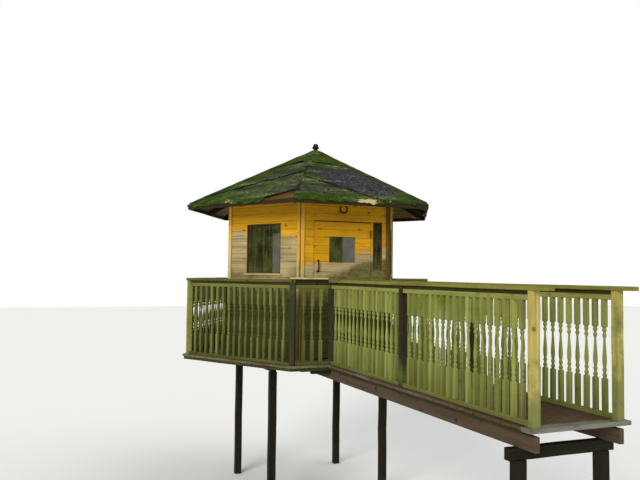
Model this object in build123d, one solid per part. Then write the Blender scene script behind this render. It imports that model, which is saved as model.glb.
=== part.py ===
from build123d import *
import os
from math import atan, cos, pi, radians, sin, sqrt, tan

# Hexagonal tree house on posts, with a railed deck all round it and a railed footbridge
# Millimetres. X runs along the door wall, -Y points from the cabin along the bridge, +Z is up
# Shapes are drawn from the middle of the cabin at deck level, then set down on the origin

# Levels, above the lowest foot and above the deck boards
DECK_TOP = 2100.0        # walking surface above the feet
RAIL_TOP = 1100.0        # top of the handrail boards above the deck
EAVE_TOP = 2165.0        # top of the roof boards at the eave, above the deck
FASCIA_BOTTOM = 2098.0   # underside of the fascia above the deck
ROOF_PITCH = 29.0        # degrees, measured square to an eave

# Plan sizes
CABIN_R = 1375.0         # centre to a corner of the boarded walls
EAVE_R = 2005.0          # centre to a corner of the roof
RAIL_R = 1952.0          # centre to a corner post of the deck
DECK_LEDGE = 80.0        # floor boards beyond the line of the posts
BRIDGE_HALF = 430.0      # middle of the bridge to the line of its posts
BRIDGE_INNER_BAY = 1905.0   # post to post along the bridge, next to the deck
BRIDGE_OUTER_BAY = 2075.0
BRIDGE_NOSE = 60.0       # floor beyond the end posts
HANDRAIL_NOSE = 180.0    # handrail beyond the end posts

# Timber sizes
FLOOR_T = 28.0
END_BOARD_W = 120.0
END_BOARD_T = 36.0
RIM_T = 28.0
RIM_H = 42.0
RIM_SETBACK = 20.0
JOIST_W = 45.0
JOIST_H = 70.0
JOIST_STEP = 400.0
JOIST_TAPER = 250.0      # length over which a joist's end thins to the rim's depth
BEARER_W = 70.0
BEARER_H = 120.0
BEARER_X = 880.0
BEARER_TAIL = 150.0      # bearer beyond the back legs
LANDING_HALF = 720.0
LANDING_W = 70.0
LANDING_H = 42.0
LEG_W = 100.0
LEG_FRONT_Y = -650.0
LEG_BACK_Y = 1080.0
BEAM_W = 47.0
BEAM_H = 125.0
BEAM_INNER_Y = 60.0      # inner end of a bridge beam, under the deck
PACKER_W = 40.0
PACKER_H = 37.0
EDGE_STRIP_W = 30.0
EDGE_STRIP_H = 26.0
EDGE_STRIP_SETBACK = 8.0
TRESTLE_FROM_END = 230.0  # outer end of the beams to the middle of the trestle
TRESTLE_BEAM_W = 70.0
TRESTLE_BEAM_H = 100.0
TRESTLE_OVERHANG = 110.0

# Balustrade
POST_W = 70.0
HANDRAIL_W = 100.0
HANDRAIL_T = 35.0
SHORT_HANDRAIL_T = 28.0
SHORT_HANDRAIL_LAP = 28.0   # short handrail beyond the middle of the corner post
SHORT_HANDRAIL_GAP = 20.0   # between the short handrail and the bridge's
BATTEN_W = 28.0
BATTEN_H = 35.0
RAIL_W = 45.0
TOP_RAIL_H = 45.0
BOTTOM_RAIL_H = 40.0
SPINDLE_W = 41.0
SPINDLE_STEP = 108.0
SPINDLE_FOOT_H = 285.0
SPINDLE_HEAD_H = 236.0
SPINDLE_TURNED = (
    (0.00, 1.00),
    (0.06, 0.56),
    (0.36, 0.92),
    (0.78, 0.46),
    (1.00, 1.00),
)

# Cabin walls
WALL_T = 70.0
TRIM_W = 48.0
TRIM_T = 18.0
TRIM_SET = 5.0
WINDOW_W = 650.0
WINDOW_H = 710.0
WINDOW_SILL = 1177.0
WINDOW_FRAME_T = 14.0
WINDOW_FRAME_D = 50.0
WINDOW_GLASS_SET = 24.0
GLASS_T = 4.0
SILL_BOARD_H = 26.0
SILL_BOARD_OUT = 22.0
SILL_BOARD_EXTRA = 30.0
SIDELIGHT_MARGIN = 35.0  # wall between the door opening and the sidelight
SIDELIGHT_W = 152.0
SIDELIGHT_SILL = 1254.0
SIDELIGHT_H = 676.0
SIDELIGHT_FRAME_T = 16.0

# Door
DOOR_X = -52.0
DOOR_W = 870.0
DOOR_H = 1908.0
DOOR_LIFT = 12.0
DOOR_GAP = 5.0
DOOR_BOARD_T = 20.0
DOOR_BRACE_T = 25.0
DOOR_BRACE_W = 95.0
DOOR_BRACE_INSET = 14.0
DOOR_PANE_X = -54.0
DOOR_PANE_W = 403.0
DOOR_PANE_SILL = 1339.0
DOOR_PANE_H = 364.0
DOOR_PANE_LAP = 12.0
DOOR_STOP_D = 18.0
DOOR_STOP_W = 18.0
HANDLE_X = -427.0
HANDLE_Z = 1288.0
HANDLE_LENGTH = 166.0
HANDLE_GRIP = 18.0
HANDLE_REACH = 42.0
HANDLE_PAD = 30.0
HINGE_BARREL_R = 6.0
HINGE_BARREL_SIDES = 12
HINGE_PIN_R = 3.5
HINGE_PIN_FIT = 0.3
HINGE_LENGTH = 100.0
HINGE_PROUD = 8.0
HINGE_PLATE_T = 2.0
HINGE_PLATE_D = 40.0
HINGE_FROM_FOOT = 218.0
HINGE_FROM_HEAD = 220.0

# Roof
ROOF_BOARD_T = 18.0
FELT_T = 4.0
FASCIA_T = 18.0
RAFTER_W = 45.0
RAFTER_D = 70.0
BOSS_APOTHEM = 95.0
BOSS_DROP = 62.0
BOSS_TAIL = 25.0
APEX_HOLE = 32.0
FINIAL_SPIGOT_R = 22.0
FINIAL_CAP_R = 60.0
FINIAL_RISE = 107.5
FINIAL_CAP_H = 70.0
FINIAL_CORNERS = 12
TORN_ALONG_EAVE = 450.0
TORN_UP_HIP = 240.0
HORSESHOE_X = -42.0
HORSESHOE_Z = 2093.0
HORSESHOE_OUTER = 64.0
HORSESHOE_WEB = 23.0
HORSESHOE_T = 9.0
HORSESHOE_MOUTH = 58.0
HORSESHOE_SIDES = 24

# Seats where two cut ends face each other
MITRE_GAP = 0.5

# Worked out from the sizes above
COS30 = cos(radians(30))
TAN30 = tan(radians(30))
TAN_PITCH = tan(radians(ROOF_PITCH))
COS_PITCH = cos(radians(ROOF_PITCH))
TAN_HIP = TAN_PITCH * COS30
COS_HIP = cos(atan(TAN_HIP))
CABIN_A = CABIN_R * COS30
INNER_A = CABIN_A - WALL_T
WALL_HALF = INNER_A * TAN30
EAVE_A = EAVE_R * COS30
RAIL_A = RAIL_R * COS30
FLOOR_A = RAIL_A + DECK_LEDGE
RIM_A = FLOOR_A - RIM_SETBACK
BRIDGE_MIDDLE = RAIL_A + BRIDGE_INNER_BAY
BRIDGE_END = BRIDGE_MIDDLE + BRIDGE_OUTER_BAY
HANDRAIL_END = BRIDGE_END + HANDRAIL_NOSE
FLOOR_END = BRIDGE_END + BRIDGE_NOSE
CABIN_Y = (HANDRAIL_END - FLOOR_A) / 2
ROOF_BOARD_V = ROOF_BOARD_T / COS_PITCH
FELT_V = FELT_T / COS_PITCH
APEX_TOP = EAVE_TOP + EAVE_A * TAN_PITCH
APEX_UNDER = APEX_TOP - ROOF_BOARD_V
FINIAL_TOP = APEX_TOP + FINIAL_RISE
HIP_TOP = APEX_UNDER - RAFTER_W / 4 * TAN_PITCH
HIP_V = RAFTER_D / COS_HIP
COMMON_V = RAFTER_D / COS_PITCH
HANDRAIL_UNDER = RAIL_TOP - HANDRAIL_T
TOP_RAIL_TOP = HANDRAIL_UNDER - BATTEN_H
SPINDLE_TOP = TOP_RAIL_TOP - TOP_RAIL_H
JOIST_UNDER = -FLOOR_T - JOIST_H
RIM_UNDER = -FLOOR_T - RIM_H
LANDING_UNDER = RIM_UNDER - LANDING_H
BEARER_UNDER = JOIST_UNDER - BEARER_H
BEAM_TOP = -FLOOR_T - PACKER_H
BEAM_UNDER = BEAM_TOP - BEAM_H
DOOR_LEFT = DOOR_X - DOOR_W / 2
DOOR_RIGHT = DOOR_X + DOOR_W / 2
DOOR_TOP = DOOR_LIFT + DOOR_H
OPENING_LEFT = DOOR_LEFT - DOOR_GAP
OPENING_RIGHT = DOOR_RIGHT + DOOR_GAP
OPENING_TOP = DOOR_TOP + DOOR_GAP
SIDELIGHT_X = OPENING_RIGHT + SIDELIGHT_MARGIN + SIDELIGHT_W / 2
HINGE_X = DOOR_RIGHT + DOOR_GAP / 2
HINGE_Y = -CABIN_A - HINGE_PROUD
HINGE_LOW = DOOR_LIFT + HINGE_FROM_FOOT
HINGE_HIGH = DOOR_TOP - HINGE_FROM_HEAD


# Basic shapes

def block(x_low, x_high, y_low, y_high, z_low, z_high):
    """Box between two opposite corners."""
    middle = Pos((x_low + x_high) / 2, (y_low + y_high) / 2, (z_low + z_high) / 2)
    return middle * Box(x_high - x_low, y_high - y_low, z_high - z_low)


def square_post(x, y, width, z_low, z_high):
    """Square post standing on its middle."""
    half = width / 2
    return block(x - half, x + half, y - half, y + half, z_low, z_high)


def plan_prism(points, z_low, z_high):
    """Upright prism over an outline in plan."""
    outline = make_face(Polyline(*points, close=True))
    return Pos(0, 0, z_low) * extrude(outline, amount=z_high - z_low, dir=(0, 0, 1))


def section_prism(points, x_low, x_high):
    """Level prism along X over an outline given as (y, z)."""
    outline = make_face(Polyline(*[(x_low, y, z) for y, z in points], close=True))
    return extrude(outline, amount=x_high - x_low, dir=(1, 0, 0))


def stacked_rings(rings, corners):
    """Flat-sided solid through rings, each given as (height, radius to a corner)."""
    turn = 2 * pi / corners
    angles = [turn * (index + 0.5) for index in range(corners)]
    levels = [
        [Vector(radius * cos(angle), radius * sin(angle), height) for angle in angles]
        for height, radius in rings
    ]
    outlines = [levels[0], levels[-1]]
    for low, high in zip(levels, levels[1:]):
        for index in range(corners):
            after = (index + 1) % corners
            outlines.append([low[index], low[after], high[after], high[index]])
    faces = [make_face(Polyline(*outline, close=True)).face() for outline in outlines]
    return Solid(Shell(faces))


def hexagon(corner_radius, z_low, z_high):
    """Upright hexagonal prism with two corners on the X axis."""
    outline = RegularPolygon(corner_radius, 6)
    return Pos(0, 0, z_low) * extrude(outline, amount=z_high - z_low, dir=(0, 0, 1))


def on_side(shape, side):
    """Turn a shape drawn on the door side to side 0 to 5, clockwise from above."""
    return Rot(0, 0, -60 * side) * shape


def all_sides(shape, sides=range(6)):
    """Copies of a door-side shape on several sides."""
    return [on_side(shape, side) for side in sides]


NODES = {}


def node(name, shapes):
    """Keep one solid, or several that do not touch, under a node name."""
    solids = shapes if isinstance(shapes, list) else [shapes]
    NODES[name] = [solid for shape in solids for solid in shape.solids()]


# Substructure

def joist(y):
    """One joist between the rims at a given distance from the middle, its ends tapered below."""
    rim_inner_a = RIM_A - RIM_T
    reach = rim_inner_a / COS30 - (abs(y) + JOIST_W / 2) * TAN30
    full = reach - JOIST_TAPER
    profile = [
        (-reach, -FLOOR_T), (reach, -FLOOR_T), (reach, RIM_UNDER),
        (full, JOIST_UNDER), (-full, JOIST_UNDER), (-reach, RIM_UNDER),
    ]
    return Rot(0, 0, 90) * section_prism(profile, y - JOIST_W / 2, y + JOIST_W / 2)


def deck_frame():
    """Legs, bearers, joists, rim and floor of the hexagonal deck."""
    places = [(x, y) for x in (-BEARER_X, BEARER_X) for y in (LEG_FRONT_Y, LEG_BACK_Y)]
    node("deck_legs", [square_post(x, y, LEG_W, -DECK_TOP, BEARER_UNDER) for x, y in places])
    front_end = LEG_FRONT_Y - LEG_W / 2
    back_end = LEG_BACK_Y + LEG_W / 2 + BEARER_TAIL
    half = BEARER_W / 2
    node("deck_bearers", [
        block(x - half, x + half, front_end, back_end, BEARER_UNDER, JOIST_UNDER)
        for x in (-BEARER_X, BEARER_X)
    ])
    node("landing_bearer", block(
        -LANDING_HALF, LANDING_HALF, -RIM_A, LANDING_W - RIM_A, LANDING_UNDER, RIM_UNDER
    ))
    joist_count = int((RIM_A - LANDING_W - JOIST_W) / JOIST_STEP)
    steps = range(-joist_count, joist_count + 1)
    node("deck_joists", [joist(JOIST_STEP * step) for step in steps])
    outer_half = RIM_A * TAN30 - MITRE_GAP
    inner_half = (RIM_A - RIM_T) * TAN30 - MITRE_GAP
    rim_plan = [
        (-outer_half, -RIM_A), (outer_half, -RIM_A),
        (inner_half, RIM_T - RIM_A), (-inner_half, RIM_T - RIM_A),
    ]
    node("deck_rim", all_sides(plan_prism(rim_plan, RIM_UNDER, -FLOOR_T)))
    node("deck_floor", hexagon(FLOOR_A / COS30, -FLOOR_T, 0))


def bridge_frame():
    """Beams, trestle and floor of the footbridge."""
    floor_half = BRIDGE_HALF + DECK_LEDGE
    board_start = FLOOR_END - END_BOARD_W
    beam_end = BRIDGE_END + POST_W / 2
    trestle_y = TRESTLE_FROM_END - beam_end
    trestle_top = BEAM_UNDER - TRESTLE_BEAM_H
    notched = [
        (-beam_end, BEAM_UNDER), (BEAM_INNER_Y, BEAM_UNDER), (BEAM_INNER_Y, JOIST_UNDER),
        (LANDING_W - RIM_A, JOIST_UNDER), (LANDING_W - RIM_A, LANDING_UNDER),
        (-RIM_A, LANDING_UNDER), (-RIM_A, BEAM_TOP), (-beam_end, BEAM_TOP),
    ]
    beams = []
    legs = []
    packers = []
    for side in (-1, 1):
        x = side * BRIDGE_HALF
        half = BEAM_W / 2
        beams.append(section_prism(notched, x - half, x + half))
        legs.append(square_post(x, trestle_y, LEG_W, -DECK_TOP, trestle_top))
        half = PACKER_W / 2
        packers.append(block(x - half, x + half, -board_start, -RIM_A, BEAM_TOP, -FLOOR_T))
        edge = side * (floor_half - EDGE_STRIP_SETBACK)
        inner = edge - side * EDGE_STRIP_W
        packers.append(block(
            min(edge, inner), max(edge, inner),
            -board_start, -FLOOR_A, -FLOOR_T - EDGE_STRIP_H, -FLOOR_T,
        ))
    node("bridge_beams", beams)
    node("trestle_legs", legs)
    node("bridge_packers", packers)
    beam_half = BRIDGE_HALF + TRESTLE_OVERHANG
    half = TRESTLE_BEAM_W / 2
    node("trestle_beam", block(
        -beam_half, beam_half, trestle_y - half, trestle_y + half, trestle_top, BEAM_UNDER
    ))
    node("bridge_floor", block(-floor_half, floor_half, -board_start, -FLOOR_A, -FLOOR_T, 0))
    node("bridge_end_board", block(
        -floor_half, floor_half, -FLOOR_END, -board_start, -END_BOARD_T, 0
    ))


# Balustrade

def spindle():
    """One turned baluster: square blocks at both ends, necks and a swelling between."""
    corner = SPINDLE_W / sqrt(2)
    turned_low = BOTTOM_RAIL_H + SPINDLE_FOOT_H
    turned_high = SPINDLE_TOP - SPINDLE_HEAD_H
    rings = [(BOTTOM_RAIL_H, corner)]
    for share, girth in SPINDLE_TURNED:
        rings.append((turned_low + share * (turned_high - turned_low), corner * girth))
    rings.append((SPINDLE_TOP, corner))
    return stacked_rings(rings, 4)


def corner_cut(v):
    """Where a run at a deck corner starts, so that its end lies flat on the post."""
    return (POST_W / 2 - v * 0.5) / COS30


def square_cut(v):
    """Where a run starts at a post that stands square to it."""
    return POST_W / 2


def handrail_cut(v):
    """Where a packing piece stops against the handrail of the bridge."""
    return HANDRAIL_W / 2 + MITRE_GAP


def run(length, width, start, stop, z_low, z_high):
    """Rail along +X from post to post, its middle on the line of the posts."""
    v = width / 2
    outline = [
        (start(v), -v), (length - stop(v), -v),
        (length - stop(-v), v), (start(-v), v),
    ]
    return plan_prism(outline, z_low, z_high)


def panel(length, start, stop):
    """Balustrade panel between two posts: rails, batten and spindles joined."""
    parts = [
        run(length, RAIL_W, start, stop, 0, BOTTOM_RAIL_H),
        run(length, RAIL_W, start, stop, SPINDLE_TOP, TOP_RAIL_TOP),
        run(length, BATTEN_W, start, stop, TOP_RAIL_TOP, HANDRAIL_UNDER),
    ]
    clear = length - POST_W
    count = round(clear / SPINDLE_STEP) - 1
    step = clear / (count + 1)
    turned = spindle()
    for index in range(count):
        parts.append(Pos(POST_W / 2 + (index + 1) * step, 0, 0) * turned)
    return parts[0].fuse(*parts[1:])


def balustrades():
    """All panels, posts and handrails of the deck and the bridge."""
    corner_x = RAIL_R / 2
    at_corner = Pos(-corner_x, -RAIL_A, 0)
    full = at_corner * panel(RAIL_R, corner_cut, corner_cut)
    node("balustrade_left", all_sides(full, (1, 2)))
    node("balustrade_back", on_side(full, 3))
    node("balustrade_right", all_sides(full, (4, 5)))
    short_length = corner_x - BRIDGE_HALF
    packing = run(short_length, BATTEN_W, corner_cut, handrail_cut, HANDRAIL_UNDER, RAIL_TOP)
    short = at_corner * (panel(short_length, corner_cut, square_cut) + packing)
    node("balustrade_front", [short, mirror(short, about=Plane.YZ)])
    left = []
    right = []
    for reach, length in ((RAIL_A, BRIDGE_INNER_BAY), (BRIDGE_MIDDLE, BRIDGE_OUTER_BAY)):
        bay = panel(length, square_cut, square_cut)
        left.append(Pos(-BRIDGE_HALF, -reach, 0) * Rot(0, 0, -90) * bay)
        right.append(Pos(BRIDGE_HALF, -reach - length, 0) * Rot(0, 0, 90) * bay)
    node("bridge_balustrade_left", left)
    node("bridge_balustrade_right", right)
    corner_post = square_post(0, -RAIL_R, POST_W, 0, HANDRAIL_UNDER)
    posts = [Rot(0, 0, 30 + 60 * step) * corner_post for step in range(6)]
    for y in (-RAIL_A, -BRIDGE_MIDDLE, -BRIDGE_END):
        for x in (-BRIDGE_HALF, BRIDGE_HALF):
            posts.append(square_post(x, y, POST_W, 0, HANDRAIL_UNDER))
    node("balustrade_posts", posts)


def handrails():
    """Handrail boards, mitred at the deck corners, and short ones a board higher beside the bridge."""
    v = HANDRAIL_W / 2
    outer = (RAIL_A + v) * TAN30 - MITRE_GAP
    inner = (RAIL_A - v) * TAN30 - MITRE_GAP
    plan = [
        (-outer, -RAIL_A - v), (outer, -RAIL_A - v), (inner, v - RAIL_A), (-inner, v - RAIL_A)
    ]
    node("deck_handrails", all_sides(plan_prism(plan, HANDRAIL_UNDER, RAIL_TOP), range(1, 6)))
    node("bridge_handrails", [
        block(x - v, x + v, -HANDRAIL_END, v - RAIL_A, HANDRAIL_UNDER, RAIL_TOP)
        for x in (-BRIDGE_HALF, BRIDGE_HALF)
    ])
    far = RAIL_R / 2 + SHORT_HANDRAIL_LAP
    near = BRIDGE_HALF + v + SHORT_HANDRAIL_GAP
    lapped = block(near, far, -RAIL_A - v, v - RAIL_A, RAIL_TOP, RAIL_TOP + SHORT_HANDRAIL_T)
    node("short_handrails", [lapped, mirror(lapped, about=Plane.YZ)])


# Roof

def under_boards(reach):
    """Height of the underside of the roof boards, square to an eave."""
    return APEX_UNDER - reach * TAN_PITCH


def slope_sheet(lift, thickness, trim):
    """One of six sloping sheets, with mitred hips and a hole left at the apex."""
    inner_a = APEX_HOLE
    top_eave = EAVE_TOP + lift
    top_apex = top_eave + (EAVE_A - inner_a) * TAN_PITCH
    section = [
        (-EAVE_A, top_eave), (-inner_a, top_apex),
        (-inner_a, top_apex - thickness), (-EAVE_A, top_eave - thickness),
    ]
    slab = section_prism(section, -EAVE_R, EAVE_R)
    outer_half = EAVE_A * TAN30 - trim
    inner_half = inner_a * TAN30 - trim
    wedge_plan = [
        (-outer_half, -EAVE_A), (outer_half, -EAVE_A), (inner_half, -inner_a), (-inner_half, -inner_a)
    ]
    return slab & plan_prism(wedge_plan, 0, APEX_TOP + FELT_V + lift)


def sloping_rafter(far, top, under, fall):
    """Rafter from the boss outwards along -Y, with a plumb end and a level tail cut."""
    near = BOSS_APOTHEM
    section = [
        (-near, top - near * fall), (-far, top - far * fall),
        (-far, FASCIA_BOTTOM), (-(under - FASCIA_BOTTOM) / fall, FASCIA_BOTTOM),
        (-near, under - near * fall),
    ]
    return section_prism(section, -RAFTER_W / 2, RAFTER_W / 2)


def hip_rafter(top=HIP_TOP):
    """Rafter under a hip, drawn along -Y; a raised top gives the notch it lies in."""
    far = (EAVE_A - FASCIA_T - RAFTER_W / 4) / COS30
    return sloping_rafter(far, top, HIP_TOP - HIP_V, TAN_HIP)


def common_rafter():
    """Rafter up the middle of a slope, drawn along -Y."""
    return sloping_rafter(EAVE_A - FASCIA_T, APEX_UNDER, APEX_UNDER - COMMON_V, TAN_PITCH)


def fascia():
    """Fascia board under one eave, bevelled to the roof boards and mitred."""
    inner_a = EAVE_A - FASCIA_T
    section = [
        (-EAVE_A, FASCIA_BOTTOM), (-inner_a, FASCIA_BOTTOM),
        (-inner_a, under_boards(inner_a)), (-EAVE_A, under_boards(EAVE_A)),
    ]
    outer_half = EAVE_A * TAN30 - MITRE_GAP
    inner_half = inner_a * TAN30 - MITRE_GAP
    plan = [
        (-outer_half, -EAVE_A), (outer_half, -EAVE_A), (inner_half, -inner_a), (-inner_half, -inner_a)
    ]
    return section_prism(section, -EAVE_R, EAVE_R) & plan_prism(plan, 0, APEX_TOP)


def felt_sheets():
    """Felt on the six slopes; the one left of the door has lost its near corner."""
    sheet = slope_sheet(FELT_V, FELT_V, MITRE_GAP * 2)
    sheets = all_sides(sheet)
    half = EAVE_A * TAN30
    hip_x = TORN_UP_HIP * 0.5
    hip_y = TORN_UP_HIP * COS30
    beyond = EAVE_R
    torn = plan_prism(
        [
            (half - TORN_ALONG_EAVE, -EAVE_A), (half - hip_x, hip_y - EAVE_A),
            (beyond, hip_y - EAVE_A), (beyond, -beyond), (half - TORN_ALONG_EAVE, -beyond),
        ],
        0, APEX_TOP,
    )
    sheets[1] = sheets[1] - on_side(torn, 1)
    return sheets


def roof():
    """Boss, rafters, boards, fascia, felt and finial."""
    node("roof_boards", all_sides(slope_sheet(0, ROOF_BOARD_V, MITRE_GAP)))
    node("roof_felt", felt_sheets())
    node("fascia_boards", all_sides(fascia()))
    hip = hip_rafter()
    hips = [Rot(0, 0, 30 + 60 * step) * hip for step in range(6)]
    node("rafters", hips + all_sides(common_rafter()))
    boss_top = APEX_UNDER - BOSS_DROP
    boss_under = under_boards(BOSS_APOTHEM) - COMMON_V - BOSS_TAIL
    boss_plan = RegularPolygon(BOSS_APOTHEM, 12, major_radius=False)
    boss = extrude(Rot(0, 0, 15) * boss_plan, amount=boss_top - boss_under, dir=(0, 0, 1))
    node("roof_boss", Pos(0, 0, boss_under) * boss)
    cap_low = FINIAL_TOP - FINIAL_CAP_H
    spigot = stacked_rings([(boss_top, FINIAL_SPIGOT_R), (cap_low, FINIAL_SPIGOT_R)], FINIAL_CORNERS)
    cap_rings = [
        (cap_low, FINIAL_CAP_R), (cap_low + FINIAL_CAP_H * 0.45, FINIAL_CAP_R * 0.8),
        (FINIAL_TOP, FINIAL_CAP_R * 0.35),
    ]
    node("finial", spigot + stacked_rings(cap_rings, FINIAL_CORNERS))


# Cabin

def wall_slab(x_low, x_high, z_low=0.0):
    """Stretch of wall on the door side, bevelled to the roof and notched for its rafters."""
    section = [
        (-CABIN_A, z_low), (-INNER_A, z_low),
        (-INNER_A, under_boards(INNER_A)), (-CABIN_A, under_boards(CABIN_A)),
    ]
    slab = section_prism(section, x_low, x_high)
    hip = hip_rafter(APEX_UNDER)
    for cut in (common_rafter(), Rot(0, 0, 30) * hip, Rot(0, 0, -30) * hip):
        slab = slab - cut
    return slab


def ring(x, z_low, width, height, thickness, y_low, y_high):
    """Frame lining an opening."""
    left = x - width / 2
    right = x + width / 2
    whole = block(left, right, y_low, y_high, z_low, z_low + height)
    hole = block(
        left + thickness, right - thickness, y_low, y_high, z_low + thickness, z_low + height - thickness
    )
    return whole - hole


def walls():
    """Six wall sides, corner posts, trims, windows and the sidelight."""
    through = (-CABIN_A - 1, -INNER_A + 1)
    node("front_wall_left", wall_slab(-WALL_HALF, OPENING_LEFT))
    node("front_wall_head", wall_slab(OPENING_LEFT, OPENING_RIGHT, OPENING_TOP))
    sidelight_hole = block(
        SIDELIGHT_X - SIDELIGHT_W / 2, SIDELIGHT_X + SIDELIGHT_W / 2, *through,
        SIDELIGHT_SILL, SIDELIGHT_SILL + SIDELIGHT_H,
    )
    node("front_wall_right", wall_slab(OPENING_RIGHT, WALL_HALF) - sidelight_hole)
    window_hole = block(
        -WINDOW_W / 2, WINDOW_W / 2, *through, WINDOW_SILL, WINDOW_SILL + WINDOW_H
    )
    windowed = wall_slab(-WALL_HALF, WALL_HALF) - window_hole
    window_sides = range(1, 6)
    names = ("left_front", "left_back", "back", "right_back", "right_front")
    for side, name in zip(window_sides, names):
        node(f"wall_{name}", on_side(windowed, side))
    frame_back = -CABIN_A + WINDOW_FRAME_D
    frame = ring(0, WINDOW_SILL, WINDOW_W, WINDOW_H, WINDOW_FRAME_T, -CABIN_A, frame_back)
    side_frame = ring(
        SIDELIGHT_X, SIDELIGHT_SILL, SIDELIGHT_W, SIDELIGHT_H, SIDELIGHT_FRAME_T, -CABIN_A, frame_back
    )
    node("window_frames", all_sides(frame, window_sides) + [side_frame])
    glass_y = -CABIN_A + WINDOW_GLASS_SET
    pane_half = WINDOW_W / 2 - WINDOW_FRAME_T
    pane = block(
        -pane_half, pane_half, glass_y, glass_y + GLASS_T,
        WINDOW_SILL + WINDOW_FRAME_T, WINDOW_SILL + WINDOW_H - WINDOW_FRAME_T,
    )
    side_half = SIDELIGHT_W / 2 - SIDELIGHT_FRAME_T
    side_pane = block(
        SIDELIGHT_X - side_half, SIDELIGHT_X + side_half, glass_y, glass_y + GLASS_T,
        SIDELIGHT_SILL + SIDELIGHT_FRAME_T, SIDELIGHT_SILL + SIDELIGHT_H - SIDELIGHT_FRAME_T,
    )
    node("window_glass", all_sides(pane, window_sides) + [side_pane])
    sill_half = WINDOW_W / 2 + SILL_BOARD_EXTRA
    sill = block(
        -sill_half, sill_half, -CABIN_A - SILL_BOARD_OUT, -CABIN_A,
        WINDOW_SILL - SILL_BOARD_H, WINDOW_SILL,
    )
    node("window_sills", all_sides(sill, window_sides))


def corners():
    """Corner posts between the wall sides, and the trim boards beside them."""
    outer = CABIN_R
    inner = INNER_A / COS30
    edge_along = (CABIN_A - INNER_A) * TAN30
    shoulder_x = edge_along * COS30
    shoulder_y = outer - edge_along * 0.5
    kite = plan_prism(
        [(0, -outer), (shoulder_x, -shoulder_y), (0, -inner), (-shoulder_x, -shoulder_y)],
        0, APEX_TOP,
    )
    reach = EAVE_R
    below = section_prism(
        [
            (0, 0), (-reach, 0),
            (-reach, HIP_TOP - HIP_V - reach * TAN_HIP), (0, HIP_TOP - HIP_V),
        ],
        -WALL_T, WALL_T,
    )
    post = kite & below
    node("cabin_corner_posts", [Rot(0, 0, 30 + 60 * step) * post for step in range(6)])
    trim_y = CABIN_A + TRIM_T
    trim_top = HIP_TOP - HIP_V - (trim_y / COS30) * TAN_HIP
    end = CABIN_R / 2 - TRIM_SET
    trim = block(end - TRIM_W, end, -trim_y, -CABIN_A, 0, trim_top)
    pairs = all_sides(trim) + all_sides(mirror(trim, about=Plane.YZ))
    node("corner_trims", pairs)


# Door

def hinge_half(side, z_low):
    """Barrel and plate of one hinge leaf; side is 1 on the jamb and -1 on the door."""
    half = HINGE_LENGTH / 2
    barrel_plan = RegularPolygon(HINGE_BARREL_R, HINGE_BARREL_SIDES)
    barrel = Pos(HINGE_X, HINGE_Y, z_low) * extrude(barrel_plan, amount=half)
    face = HINGE_X + side * DOOR_GAP / 2
    inner = face - side * HINGE_PLATE_T
    plate = block(
        min(face, inner), max(face, inner), HINGE_Y, -CABIN_A + HINGE_PLATE_D, z_low, z_low + half
    )
    return barrel + plate


def hinges():
    """Three butt hinges: jamb halves with the pins, door halves with the bores."""
    jamb_halves = []
    door_halves = []
    half = HINGE_LENGTH / 2
    for z in (HINGE_LOW, (HINGE_LOW + HINGE_HIGH) / 2, HINGE_HIGH):
        pin = Pos(HINGE_X, HINGE_Y, z + half) * Cylinder(HINGE_PIN_R, HINGE_LENGTH)
        jamb_halves.append(hinge_half(1, z) + pin)
        bore = Pos(HINGE_X, HINGE_Y, z + half * 1.5) * Cylinder(HINGE_PIN_R + HINGE_PIN_FIT, half)
        door_halves.append(hinge_half(-1, z + half + HINGE_PIN_FIT) - bore)
    node("hinge_jamb_halves", jamb_halves)
    node("hinge_door_halves", door_halves)


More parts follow.
